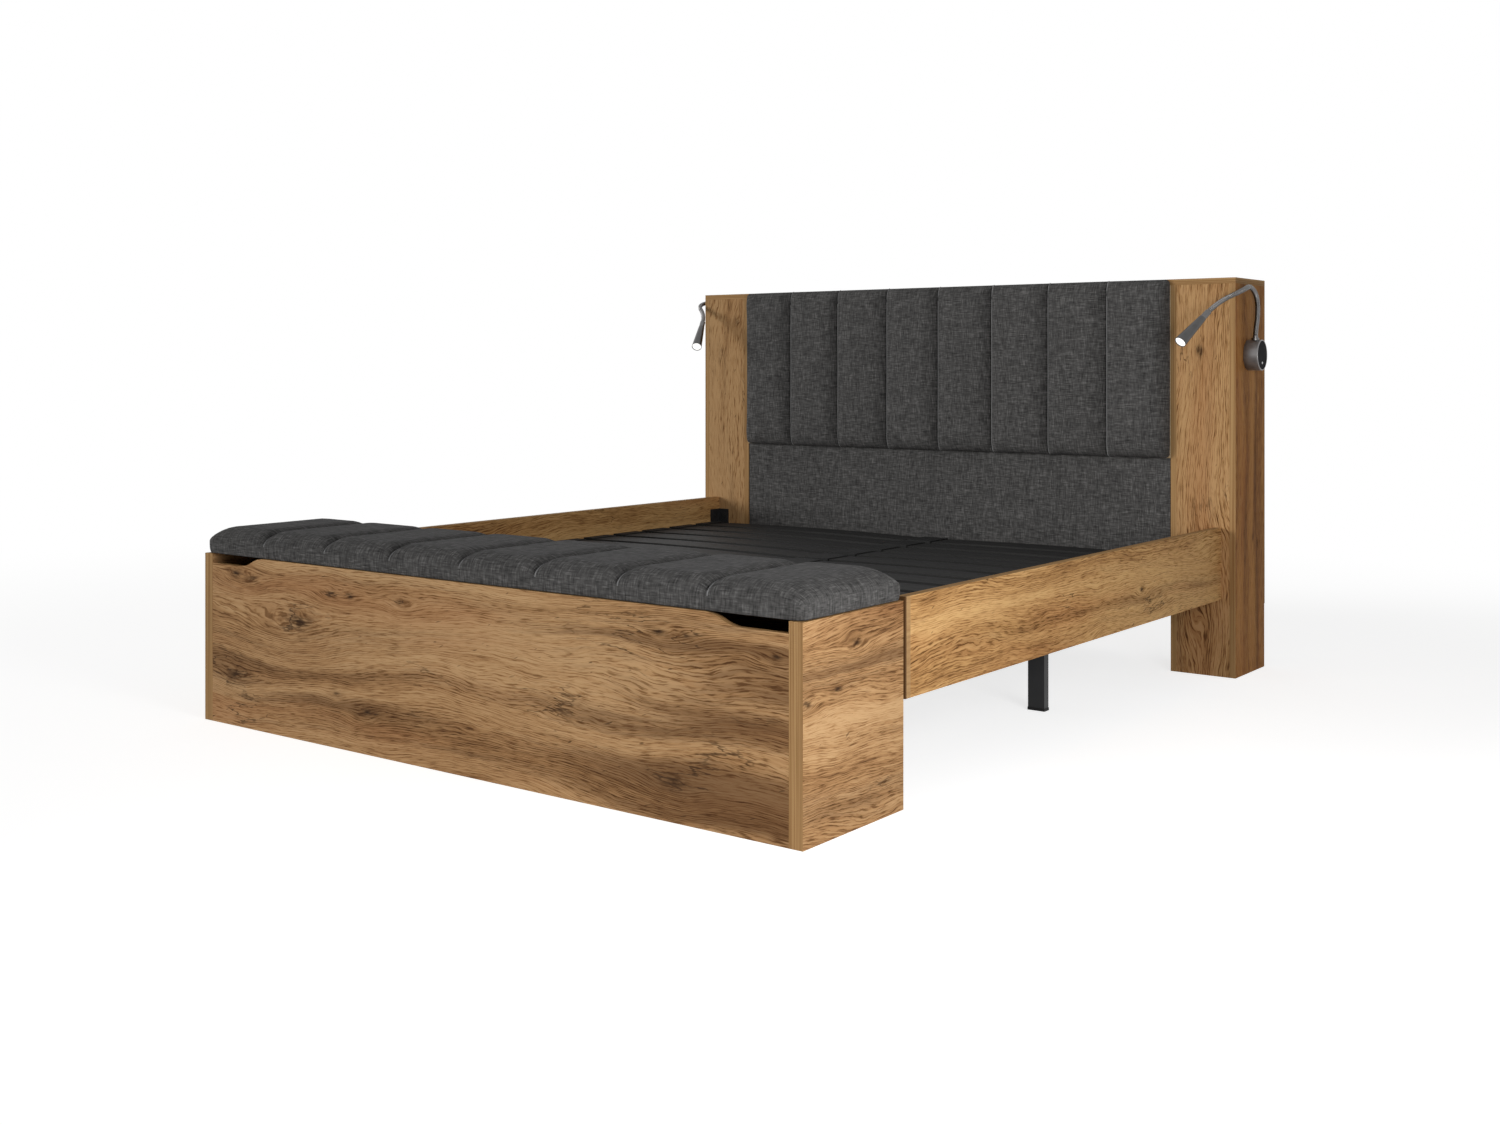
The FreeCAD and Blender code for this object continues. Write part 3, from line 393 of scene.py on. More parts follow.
    def material(self, strip_and_gap_shadow=None, tint_and_shade=None, hard=0.0):
        """The finished print: hard sharpens its contrast, and a tint, on some boards painted shade, is
        laid over its broad faces.
        """
        n = self.n
        smear = n.add_up(self.far_v, n.scaled(n.math("SUBTRACT", self.ring, self.far_v), KNOT_SMEAR))
        colour = self.with_knots(self.clear_wood(hard), smear)
        colour = self.with_cracks(colour, smear)
        # On some boards this tint is painted shade
        if tint_and_shade:
            colour = n.mix(1.0, colour, tint_and_shade, "MULTIPLY")
        depth = n.add_up(n.scaled(self.pores, 0.6), self.cracks)
        coarse = n.add_up(self.fibre, n.scaled(self.pores, 0.3))
        return n.surface({
            "Base Color": self.with_banding(colour, strip_and_gap_shadow),
            "Roughness": self.effect("roughness", coarse),
            "Specular IOR Level": 0.04,
            "Normal": n.bump(n.scaled(depth, -1.0), 0.0006, 0.35),
        })


# Fabrics

THREAD = 0.0032
# Coarse and fine threads: pitch, length of a slub, share in the tone, shift of the noise
THREAD_KINDS = [(THREAD, 0.036, 0.6, 0.0), (THREAD / 2, 0.018, 0.4, 16.0)]
# Steps in the noise from one thread to the next, and from the upright threads to the level ones
NEXT_THREAD = 7.7
OTHER_WAY = 4.0
WEAVE_RELIEF = 0.35
FABRIC_STOPS = [
    (0.36, (0.028, 0.0272, 0.0266)),
    (0.45, (0.055, 0.0535, 0.0522)),
    (0.50, (0.072, 0.0701, 0.0684)),
    (0.55, (0.094, 0.0915, 0.0893)),
    (0.64, (0.150, 0.146, 0.142)),
]
# Lighter cloth of the seam lips: a painted highlight along each seam
LIP_HIGHLIGHT_STOPS = [(0.4, (0.13, 0.13, 0.13)), (0.6, (0.26, 0.26, 0.26))]
FABRIC_SHEEN = 0.035
LIP_SHEEN = 0.05


def woven(name, stops, sheen, coordinate="UV"):
    """Melange weave: threads both ways, each with its own lighter and darker slubs, and a thread bump."""
    n = material_nodes(name)
    across, along, _ = n.split(n.add("TexCoord").outputs[coordinate])

    def threads(over, run, pitch, slub, shift):
        """Tone of the threads that lie side by side over one way and run the other way."""
        number = n.math("FLOOR", n.scaled(over, 1 / pitch))
        return n.noise(n.vector(n.scaled(number, NEXT_THREAD), n.scaled(run, 1 / slub), shift), 1.0)

    def both_ways(pitch, slub, share, shift):
        upright = threads(across, along, pitch, slub, shift)
        level = threads(along, across, pitch, slub, shift + OTHER_WAY)
        return n.scaled(n.scaled(n.add_up(upright, level), 0.5), share)

    tone = n.add_up(*[both_ways(*kind) for kind in THREAD_KINDS])
    warp = n.math("SINE", n.scaled(across, 2 * math.pi / THREAD))
    weft = n.math("SINE", n.scaled(along, 2 * math.pi / THREAD))
    height = n.add_up(n.scaled(n.math("MULTIPLY", warp, weft), WEAVE_RELIEF), tone)
    return n.surface({
        "Base Color": n.ramp(tone, stops),
        "Roughness": 0.95,
        "Specular IOR Level": 0.08,
        "Sheen Weight": sheen,
        "Sheen Roughness": 0.45,
        "Sheen Tint": (0.75, 0.75, 0.78, 1),
        "Normal": n.bump(height, 0.0008, 0.45),
    })


# Metals, plastics and plain boards

def toned(colour, darker, lighter):
    """Stops of a ramp from a darker to a lighter tone of a colour."""
    return [(place, tuple(share * part for part in colour))
            for place, share in ((0.3, darker), (0.7, lighter))]


def painted(name, colour, roughness, grain_size, gloss=0.3):
    """Sprayed finish: a fine orange-peel bump and small changes of gloss."""
    n = material_nodes(name)
    peel = n.noise(n.scaled_place([1 / grain_size] * 3), 3.0)
    patch = n.noise(n.scaled_place([9.0] * 3), 3.0)
    return n.surface({
        "Base Color": n.ramp(patch, toned(colour, 0.75, 1.25)),
        "Roughness": n.step(patch, 0.2, 0.8, roughness - 0.07, roughness + 0.07),
        "Specular IOR Level": gloss,
        "Normal": n.bump(peel, 0.0002, 0.25),
    })


def lined_wood(name, grain, dark, light, roughness):
    """Plain straight-grained or lacquered wood."""
    n = material_nodes(name)
    lines = n.noise(n.scaled_place([3.0 if axis == grain else 160.0 for axis in AXES]), 4.0, 0.6)
    return n.surface({
        "Base Color": n.ramp(lines, [(0.3, dark), (0.7, light)]),
        "Specular IOR Level": 0.2,
        "Roughness": n.step(lines, 0.3, 0.7, roughness + 0.05, roughness - 0.05),
        "Normal": n.bump(lines, 0.0004, 0.3),
    })


def satin_metal(name, colour, roughness):
    """Bare or lacquered metal with fine turning marks."""
    n = material_nodes(name)
    marks = n.noise(n.scaled_place([1500.0, 90.0, 90.0]), 2.0)
    smudge = n.noise(n.scaled_place([30.0] * 3), 3.0)
    return n.surface({
        "Base Color": n.ramp(smudge, toned(colour, 0.85, 1.12)),
        "Roughness": n.step(smudge, 0.25, 0.75, roughness - 0.05, roughness + 0.06),
        "Metallic": 1.0,
        "Normal": n.bump(marks, 0.0001, 0.15),
    })


def lit_lens(name):
    """Frosted lens, lit from inside, brightest in the middle of its dimples."""
    n = material_nodes(name)
    inputs = {"Vector": n.scaled_place([320.0] * 3), "Scale": 1.0}
    dimples = n.add("TexVoronoi", inputs).outputs["Distance"]
    glow = n.ramp(dimples, [(0.0, (1.0, 0.99, 0.96)), (0.9, (0.86, 0.85, 0.82))])
    return n.surface({
        "Base Color": glow,
        "Roughness": 0.25,
        "Emission Color": glow,
        "Emission Strength": 1.0,
        "Normal": n.bump(dimples, 0.0004, 0.3),
    })


# Meshes

SMOOTH_TURNING = math.radians(40)


def mesh_object(name, points, faces, material, uvs=None):
    """A smooth-shaded mesh object from points and faces; uvs gives each point's place on the cloth."""
    mesh = bpy.data.meshes.new(name)
    mesh.from_pydata([tuple(point) for point in points], [], faces)
    if uvs is not None:
        layer = mesh.uv_layers.new(name="cloth")
        for loop in mesh.loops:
            layer.data[loop.index].uv = uvs[loop.vertex_index]
    mesh.materials.append(material)
    mesh.validate()
    face_outwards(mesh)
    mesh.shade_smooth()
    thing = bpy.data.objects.new(name, mesh)
    scene.collection.objects.link(thing)
    return thing


def face_outwards(mesh):
    """Turn every face of a closed mesh to look out of it."""
    shape = bmesh.new()
    shape.from_mesh(mesh)
    bmesh.ops.recalc_face_normals(shape, faces=shape.faces)
    shape.to_mesh(mesh)
    shape.free()


def quads_between(first, second):
    """Faces between two closed loops of point numbers."""
    count = len(first)
    return [(first[i], first[(i + 1) % count], second[(i + 1) % count], second[i]) for i in range(count)]


def grid_faces(wide, deep):
    """Faces of a grid of points, numbered row by row."""
    faces = []
    for row in range(deep - 1):
        for column in range(wide - 1):
            here = row * wide + column
            faces.append((here, here + 1, here + wide + 1, here + wide))
    return faces


def rim_loop(wide, deep):
    """Point numbers round the outside of a grid, in order."""
    first = list(range(wide))
    right = [row * wide + wide - 1 for row in range(1, deep)]
    last = [(deep - 1) * wide + column for column in range(wide - 2, -1, -1)]
    left = [row * wide for row in range(deep - 2, 0, -1)]
    return first + right + last + left


def circle(centre, way, radius, sides):
    """Points of a circle about a centre, square to a way."""
    side = UP.cross(way)
    if side.length < 0.1:
        side = Vector((1, 0, 0))
    side.normalize()
    over = way.cross(side).normalized()
    angles = [2 * math.pi * number / sides for number in range(sides)]
    return [centre + (side * math.cos(angle) + over * math.sin(angle)) * radius for angle in angles]


def soft_profile(corners, steps=4):
    """An outline of (radius, along, rounding) corners, with each rounding drawn as a short curve."""
    outline = []
    for number, (radius, along, rounding) in enumerate(corners):
        here = Vector((radius, along))
        if not rounding:
            outline.append(here)
            continue
        before = Vector(corners[number - 1][:2])
        after = Vector(corners[number + 1][:2])
        start = here + (before - here).normalized() * rounding
        stop = here + (after - here).normalized() * rounding
        for step in range(steps + 1):
            share = step / steps
            outline.append(start * (1 - share) ** 2 + here * 2 * share * (1 - share) + stop * share ** 2)
    return outline


def turned(name, corners, origin, way, material, sides=64):
    """A round piece: its outline turned about an axis through the origin."""
    points = []
    loops = []
    for radius, along in soft_profile(corners):
        centre = origin + way * along
        if radius < 1e-6:
            loops.append([len(points)] * sides)
            points.append(centre)
        else:
            loops.append(list(range(len(points), len(points) + sides)))
            points += circle(centre, way, radius, sides)
    faces = []
    for first, second in zip(loops, loops[1:]):
        for quad in quads_between(first, second):
            corner_set = list(dict.fromkeys(quad))
            if len(corner_set) > 2:
                faces.append(corner_set)
    thing = mesh_object(name, points, faces, material)
    thing.data.set_sharp_from_angle(angle=SMOOTH_TURNING)
    return thing


def tube(name, path, radii, material, sides):
    """A tube with closed ends along a path, with a radius at each point of it."""
    points = []
    loops = []
    for number, (centre, radius) in enumerate(zip(path, radii)):
        ahead = path[min(number + 1, len(path) - 1)] - path[max(number - 1, 0)]
        loops.append(list(range(len(points), len(points) + sides)))
        points += circle(centre, ahead.normalized(), radius, sides)
    faces = [loops[0][::-1], loops[-1]]
    for first, second in zip(loops, loops[1:]):
        faces += quads_between(first, second)
    return mesh_object(name, points, faces, material)


# Padded pieces

CHANNELS = 8
# Grid lines over half a channel, as shares of its width, and over a pad's rounded end
CHANNEL_STEPS = [0, 0.005, 0.013, 0.026, 0.044, 0.068, 0.10, 0.14, 0.19, 0.25, 0.32, 0.39, 0.46]
END_STEPS = [0, 0.01, 0.03, 0.07, 0.13, 0.21, 0.31, 0.43, 0.57, 0.75]
ROW_STEP = 0.009
# Rings of a pad's wall, from the rim down: share of the rim's height, share of the tuck
WALL_RINGS = [(0.8, 0.0), (0.6, 0.05), (0.4, 0.15), (0.2, 0.4), (0.06, 0.8), (0.0, 1.0)]
HELD_RINGS = 2
# Powers of the curves: quarter circle at the rim, fuller fold at a seam, fading of the seams
ROUND = 2.0
FOLD_POWER = 1.7
FADE_POWER = 4
# How far the walls of a pad draw in at its base
LID_TUCK = 0.003
BACK_TUCK = 0.0008
# Room round the lid board in the pad's recess, and the rim of the pad behind it
BOARD_PLAY = 0.0003
RECESS_RIM = 0.002
LIP_RADIUS = 0.0015
LIP_STANDOFF = 0.2
LIP_COLUMN = 3
SWELL_FRAMES = 12
SWELL_PRESSURE = 4.0
SWELL_LIMIT = 0.004


class Pad:
    """A channelled pad drawn as a grid: across the channels, along them, and up from its base."""

    def __init__(self, half, length, *, edge, seam, crown, rounding, side_rounding, seam_reach,
                 corners, fold, fade):
        self.half, self.length, self.edge = half, length, edge
        self.seam, self.crown, self.fade = seam, crown, fade
        self.rounding, self.side_rounding, self.seam_reach = rounding, side_rounding, seam_reach
        self.corners, self.fold = corners, fold
        width = 2 * half / CHANNELS
        shares = CHANNEL_STEPS + [1 - share for share in reversed(CHANNEL_STEPS[1:])]
        self.columns = [(-half + width * (number + share), share)
                        for number in range(CHANNELS) for share in shares] + [(half, 1.0)]
        rim = [rounding * share for share in END_STEPS]
        inner = max(2, round((length - 2 * rounding) / ROW_STEP))
        middle = [rounding + (length - 2 * rounding) * step / inner for step in range(inner + 1)]
        self.rows = rim + middle + [length - distance for distance in reversed(rim)]
        self.wide, self.deep = len(self.columns), len(self.rows)

    def height(self, across, share, along):
        """Height of the cover: full between the seams, drawn in at them, rounded down to the rim."""
        side = self.half - abs(across)
        end = min(along, self.length - along)
        outer = side < self.half / CHANNELS
        from_seam = min(share, 1 - share) * 2 * self.half / CHANNELS
        roll = 1.0 if outer else rise(from_seam, self.fold, FOLD_POWER)
        faded = self.fade * (along / self.length) ** FADE_POWER
        seam = self.seam + (self.crown - self.seam) * faded
        seam_line = self.edge + (seam - self.edge) * rise(end, self.seam_reach)
        crown_line = self.edge + (self.crown - self.edge) * rise(end, self.rounding)
        top = seam_line + (crown_line - seam_line) * roll
        return self.edge + (top - self.edge) * rise(side, self.side_rounding)

    def plan(self, across, along):
        """A point of the grid, with the corners of its outline rounded."""
        corner = self.corners[0 if along < self.length / 2 else 1]
        in_side = (corner - (self.half - abs(across))) / corner
        in_end = (corner - min(along, self.length - along)) / corner
        if in_side <= 0 or in_end <= 0:
            return across, along
        side = in_side * math.sqrt(1 - in_end ** 2 / 2)
        end = in_end * math.sqrt(1 - in_side ** 2 / 2)
        new_across = math.copysign(self.half - corner * (1 - side), across)
        new_end = corner * (1 - end)
        return new_across, new_end if along < self.length / 2 else self.length - new_end

    def build(self, name, point, material, tuck, recess=None):
        """The pad's mesh: top, drawn-in walls and base; recess is (inset sides, inset front, height)."""
        self.flat, self.ups, self.uvs = [], [], []
        self.draw_top()
        self.faces = grid_faces(self.wide, self.deep)
        self.loop = self.rim = rim_loop(self.wide, self.deep)
        for share, inward in WALL_RINGS:
            self.add_wall_ring(self.edge * share, tuck * inward)
        if recess:
            self.add_recess(*recess)
        self.faces.append(self.rim)
        points = [point(across, along, up) for (across, along), up in zip(self.flat, self.ups)]
        return mesh_object(name, points, self.faces, material, self.uvs)

    def draw_top(self):
        cloth_across, cloth_along = self.cloth_lines()
        for row, along in enumerate(self.rows):
            for column, (across, share) in enumerate(self.columns):
                self.flat.append(self.plan(across, along))
                self.ups.append(self.height(across, share, along))
                self.uvs.append((cloth_across[column], cloth_along[row]))

    def cloth_lines(self):
        """Distances over the cover itself, across the middle row and along the middle of a channel."""
        middle = self.length / 2
        ridge = self.half / CHANNELS
        over = [self.height(across, share, middle) for across, share in self.columns]
        along = [self.height(ridge, 0.5, place) for place in self.rows]
        places = [across for across, _ in self.columns]
        return path_lengths(places, over), path_lengths(self.rows, along)

    def add_ring(self, places, up, uvs):
        """One more ring of points below the last one, joined to it."""
        ring = list(range(len(self.flat), len(self.flat) + len(places)))
        self.flat += places
        self.ups += [up] * len(places)
        self.uvs += uvs
        self.faces += quads_between(self.rim, ring)
        self.rim = ring

    def add_wall_ring(self, up, inward):
        """A ring of the wall at a height, drawn in by a distance."""
        middle = self.length / 2
        places = []
        uvs = []
        for number in self.loop:
            across, along = self.flat[number]
            drawn_in = middle + (along - middle) * (1 - inward / middle)
            places.append((across * (1 - inward / self.half), drawn_in))
            row, column = divmod(number, self.wide)
            on_side = {0: -1, self.wide - 1: 1}.get(column, 0)
            on_end = 0 if on_side else (-1 if row == 0 else 1)
            rim_across, rim_along = self.uvs[number]
            down = self.edge - up
            uvs.append((rim_across + on_side * down, rim_along + on_end * down))
        self.add_ring(places, up, uvs)

    def add_recess(self, sides, front, depth):
        """Room in the base for a board."""
        most = self.half - sides
        places = []
        for number in self.loop:
            across, along = self.flat[number]
            inside = max(front, min(self.length - RECESS_RIM, along))
            places.append((max(-most, min(most, across)), inside))
        for up in (0.0, depth):
            self.add_ring(places, up, places)

    def held_points(self):
        """Points that the stitching and the base hold: the seams and everything below the free wall."""
        seams = [column for column, (_, share) in enumerate(self.columns)
                 if share == 0 and 0 < column < self.wide - 1]
        held = {row * self.wide + column for row in range(self.deep) for column in seams}
        free_wall = len(self.loop) * (len(WALL_RINGS) - HELD_RINGS)
        held.update(range(self.wide * self.deep + free_wall, len(self.flat)))
        return sorted(held)

    def beside_seam(self, mesh, number, shift):
        """A line of points beside the stitching between two channels, read from the finished mesh."""
        column = number * (self.wide - 1) // CHANNELS + shift
        return [mesh.vertices[row * self.wide + column].co.copy() for row in range(self.deep)]


def path_lengths(places, heights):
    """Distance along a profile from its first point to each of its points."""
    lengths = [0.0]
    for number in range(1, len(places)):
        step = math.hypot(places[number] - places[number - 1], heights[number] - heights[number - 1])
        lengths.append(lengths[-1] + step)
    return lengths


def rise(distance, reach, power=ROUND):
    """Share of the full height at a distance in from the rim: upright at the rim, level at the reach."""
    return (1 - (1 - min(distance / reach, 1)) ** power) ** (1 / power)


def swell(pad, held):
    """Let the filling press the cover out between the stitching, then keep the result."""
    group = pad.vertex_groups.new(name="held")
    group.add(held, 1.0, "REPLACE")
    cloth = pad.modifiers.new("filling", "CLOTH")
    settings = cloth.settings
    settings.quality = 3
    settings.mass = 0.3
    settings.tension_stiffness = 30
    settings.compression_stiffness = 30
    settings.shear_stiffness = 15
    settings.bending_stiffness = 3
    settings.vertex_group_mass = "held"
    settings.use_pressure = True
    settings.uniform_pressure_force = SWELL_PRESSURE
    settings.effector_weights.gravity = 0
    cloth.point_cache.frame_start = 1
    cloth.point_cache.frame_end = SWELL_FRAMES
    for number in range(1, SWELL_FRAMES + 1):
        scene.frame_set(number)
    shown = pad.evaluated_get(bpy.context.evaluated_depsgraph_get())
    count = len(pad.data.vertices)
    rest = np.zeros(count * 3)
    moved = np.zeros(count * 3)
    pad.data.vertices.foreach_get("co", rest)
    shown.data.vertices.foreach_get("co", moved)
    travel = (moved - rest).reshape(-1, 3)
    size = np.linalg.norm(travel, axis=1, keepdims=True)
    travel *= np.minimum(1.0, SWELL_LIMIT / np.maximum(size, 1e-9))
    pad.modifiers.remove(cloth)
    pad.vertex_groups.clear()
    pad.data.vertices.foreach_set("co", (rest.reshape(-1, 3) + travel).ravel())
    pad.data.update()
    scene.frame_set(1)


def seam_lips(name, plan, pad, shift, out, material):
    """The folded lip of cloth to one side of each stitched line, as one thin bead for each seam, in
    lighter cloth as a painted highlight.
    """
    lips = []
    for number in range(1, CHANNELS):
        line = plan.beside_seam(pad.data, number, shift)
        path = [point + out * (LIP_STANDOFF * LIP_RADIUS) for point in line]
        lips.append(tube(f"{name}_{number}", path, [LIP_RADIUS] * len(path), material, sides=8))
    return lips


def make_lid_pad(fabric, lip_highlight):
    low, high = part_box("lid_cushion")
    board_low, board_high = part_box("lid_board")
    plan = Pad(
        high.x, high.y - low.y, edge=0.030, seam=0.051, crown=0.0715, rounding=0.055,
        side_rounding=0.085, seam_reach=0.085, corners=(0.022, 0.014), fold=0.042, fade=0.6,
    )

    def point(across, along, up):
        return (across, low.y + along, low.z + up)

    recess = (
        high.x - board_high.x - BOARD_PLAY,
        board_low.y - low.y - BOARD_PLAY,
        board_high.z - low.z + BOARD_PLAY,
    )
    pad = plan.build("lid_pad", point, fabric, LID_TUCK, recess)
    swell(pad, plan.held_points())
    lips = seam_lips("lid_seam", plan, pad, LIP_COLUMN, UP, lip_highlight)
    dress_pad(pad, lips, "lid_cushion", "lid")


def make_back_pad(fabric, lip_highlight):
    low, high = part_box("backrest_cushion")
    plan = Pad(
        high.x, high.z - low.z, edge=0.008, seam=0.020, crown=0.046, rounding=0.050,
        side_rounding=0.050, seam_reach=0.095, corners=(0.014, 0.014), fold=0.042, fade=0.0,
    )

    def point(across, along, up):
        return (-across, high.y - up, low.z + along)

    pad = plan.build("backrest_pad", point, fabric, BACK_TUCK)
    swell(pad, plan.held_points())
    lips = seam_lips("backrest_seam", plan, pad, -LIP_COLUMN, TO_FOOT, lip_highlight)
    dress_pad(pad, lips, "backrest_cushion", "bed")


def dress_pad(pad, lips, node, body):
    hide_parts(node)
    for piece in [pad] + lips:
        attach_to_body(piece, body)


PANEL_FOAM = 0.0035
PANEL_ROUNDING = 0.006
PANEL_RIM = [0, 0.0015, 0.004, 0.008, 0.014, 0.024, 0.045]
PANEL_STEPS = 24
SMOOTH_PANEL = math.radians(50)


def panel_steps(length):
    """Grid lines over a panel, closer together at both ends."""
    inside = length - 2 * PANEL_RIM[-1]
    inner = [PANEL_RIM[-1] + inside * step / PANEL_STEPS for step in range(1, PANEL_STEPS)]
    return PANEL_RIM + inner + [length - distance for distance in reversed(PANEL_RIM)]


def make_lower_panel(fabric):
    """Flat panel in the same cloth, pulled tight over a thin layer of foam."""
    low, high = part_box("lower_panel")
    half = high.x
    length = high.z - low.z
    rows = panel_steps(length)
    columns = panel_steps(2 * half)

    def puff(across, along):
        side = min(across, 2 * half - across)
        end = min(along, length - along)
        full = (1 - math.exp(-side / PANEL_ROUNDING)) * (1 - math.exp(-end / PANEL_ROUNDING))
        return PANEL_FOAM * full

    uvs = [(across, along) for along in rows for across in columns]
    points = [(across - half, low.y + PANEL_FOAM - puff(across, along), low.z + along)
              for across, along in uvs]
    rim = rim_loop(len(columns), len(rows))
    back = list(range(len(points), len(points) + len(rim)))
    points += [(points[number][0], high.y, points[number][2]) for number in rim]
    uvs += [uvs[number] for number in rim]
    faces = grid_faces(len(columns), len(rows))
    faces += [tuple(reversed(quad)) for quad in quads_between(rim, back)]
    faces.append(tuple(back))
    panel = mesh_object("lower_upholstery", points, faces, fabric, uvs)
    panel.data.set_sharp_from_angle(angle=SMOOTH_PANEL)
    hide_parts("lower_panel")
    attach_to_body(panel, "bed")


# Reading lamps

# Route of a lamp neck from the top of its base: outwards, back and up
NECK_ROUTE = [
    (0, 0, 0.024),
    (0.003, 0.016, 0.078),
    (0.003, 0.006, 0.138),
    (0.001, -0.054, 0.166),
    (-0.003, -0.120, 0.150),
    (-0.058, -0.176, 0.111),
    (-0.072, -0.208, 0.083),
]
# The smooth neck is steered wide of the wing's front edge, to clear it at the end of its swing
EDGE_BEND = 5
WIDE_OF_EDGE = (0.009, -0.006, 0)
NECK_LAP = 0.006
NECK_RADIUS = 0.0075
# Ribs of the neck, and the plain ends before the first one and after the last one
RIB_DEPTH = 0.0011
RIB_PITCH = 0.0042
RIB_OUTLINE = [(0.08, 0.7), (0.22, 1.0), (0.48, 1.0), (0.62, 0.7), (0.74, 0.0), (0.96, 0.0)]
PLAIN_ROOT = 0.0135
PLAIN_END = 0.006
LAST_RIB_EDGE = 0.001
# Base of a lamp: rim of its housing, hollow behind its face, hollow of the collar
HOUSING_RIM = 0.003
HOUSING_HOLLOW = 0.006
HOUSING_CHAMFER = 0.001
COLLAR_HOLLOW = 0.004
COLLAR_PLAY = 0.0003
BUTTON_DOME = 0.0006
# Head of a lamp: sleeve on the neck, conical shade, lens in its mouth
SLEEVE_LAP = 0.012
SLEEVE_LENGTH = 0.031
SLEEVE_RADIUS = 0.0095
SLEEVE_HOLLOW = 0.004
SLEEVE_PLAY = 0.0004
SHADE_LENGTH = 0.118
SHADE_REAR = 0.01075
SHADE_FRONT = 0.018
SHADE_WALL = 0.0015
SHADE_TAPER = 0.0003
SHADE_HOLLOW = 0.005
LENS_DEPTH = 0.0042


def smooth_route(points):
    """Points along the smooth curve that a route steers."""
    curve = bpy.data.curves.new("route", "CURVE")
    curve.dimensions = "3D"
    curve.resolution_u = 24
    spline = curve.splines.new("NURBS")
    spline.points.add(len(points) - 1)
    for control, place in zip(spline.points, points):
        control.co = (*place, 1.0)
    spline.order_u = 3
    spline.use_endpoint_u = True
    holder = bpy.data.objects.new("route", curve)
    mesh = bpy.data.meshes.new_from_object(holder)
    line = [vertex.co.copy() for vertex in mesh.vertices]
    bpy.data.objects.remove(holder)
    bpy.data.meshes.remove(mesh)
    bpy.data.curves.remove(curve)
    return line


def line_steps(line):
    """Distance along a line of points from its first point to each of its points."""
    steps = [0.0]
    for first, second in zip(line, line[1:]):
        steps.append(steps[-1] + (second - first).length)
    return steps


def along_line(line, steps, distances):
    """Points at given distances along a line of points."""
    places = np.array([tuple(point) for point in line])
    return [Vector([float(np.interp(distance, steps, places[:, axis])) for axis in range(3)])
            for distance in distances]


def make_neck(side, points, metal):
    """Ribbed flexible neck from the collar to the sleeve."""
    outward, back, lift = WIDE_OF_EDGE
    steer = list(points)
    steer[EDGE_BEND] = points[EDGE_BEND] + Vector((SIDES[side] * outward, back, lift))
    line = smooth_route(steer)
    steps = line_steps(line)
    length = steps[-1]
    first = NECK_LAP + PLAIN_ROOT
    last = length - SLEEVE_LAP - PLAIN_END
    count = round((last - first) / RIB_PITCH)
    pitch = (last - first) / count
    distances = [0.0, first]
    radii = [NECK_RADIUS, NECK_RADIUS]
    for number in range(count):
        for share, full in RIB_OUTLINE:
            distances.append(first + (number + share) * pitch)
            radii.append(NECK_RADIUS - RIB_DEPTH * (1 - full))
    distances += [last + LAST_RIB_EDGE, length]
    radii += [NECK_RADIUS, NECK_RADIUS]
    neck = tube(f"{side}_neck", along_line(line, steps, distances), radii, metal, sides=24)
    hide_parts(f"{side}_lamp_neck")
    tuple(points[EDGE_BEND])
    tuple(points[7])
    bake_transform(neck)


def make_lamp_base(side, middle, out, finishes):
    """Round housing on the outer panel, collar on top of it and button in its face."""
    low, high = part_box(f"{side}_lamp_housing")
    radius = (high.y - low.y) / 2
    depth = high.x - low.x
    wall = Vector((out.x * min(abs(low.x), abs(high.x)), middle.y, middle.z))
    housing = turned(f"{side}_base_shell", [
        (0, 0, 0), (radius - HOUSING_CHAMFER, 0, 0), (radius, HOUSING_CHAMFER, 0),
        (radius, depth, 0.0022), (radius - HOUSING_RIM, depth, 0.0008),
        (radius - HOUSING_RIM, depth - HOUSING_HOLLOW, 0), (0, depth - HOUSING_HOLLOW, 0),
    ], wall, out, finishes["base"])
    attach(housing, f"{side}_lamp_housing", "bed")

    low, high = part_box(f"{side}_lamp_collar")
    radius = (high.x - low.x) / 2
    tall = high.z - low.z
    bore = NECK_RADIUS + COLLAR_PLAY
    foot = Vector((middle.x, middle.y, low.z))
    collar = turned(f"{side}_neck_collar", [
        (0, 0, 0), (radius, 0, 0), (radius, tall, 0.002), (bore, tall, 0.0006),
        (bore, tall - COLLAR_HOLLOW, 0), (0, tall - COLLAR_HOLLOW, 0),
    ], foot, UP, finishes["neck"])
    attach(collar, f"{side}_lamp_collar", "bed")

    low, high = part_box(f"{side}_lamp_button")
    length = high.x - low.x
    radius = (high.z - low.z) / 2
    start = (low + high) / 2 - out * (length / 2)
    button = turned(f"{side}_button_cap", [
        (0, 0, 0), (radius, 0, 0), (radius, length - BUTTON_DOME, 0.0012), (0, length, 0),
    ], start, out, finishes["button"], sides=32)
    attach(button, f"{side}_lamp_button", f"{side}_button")


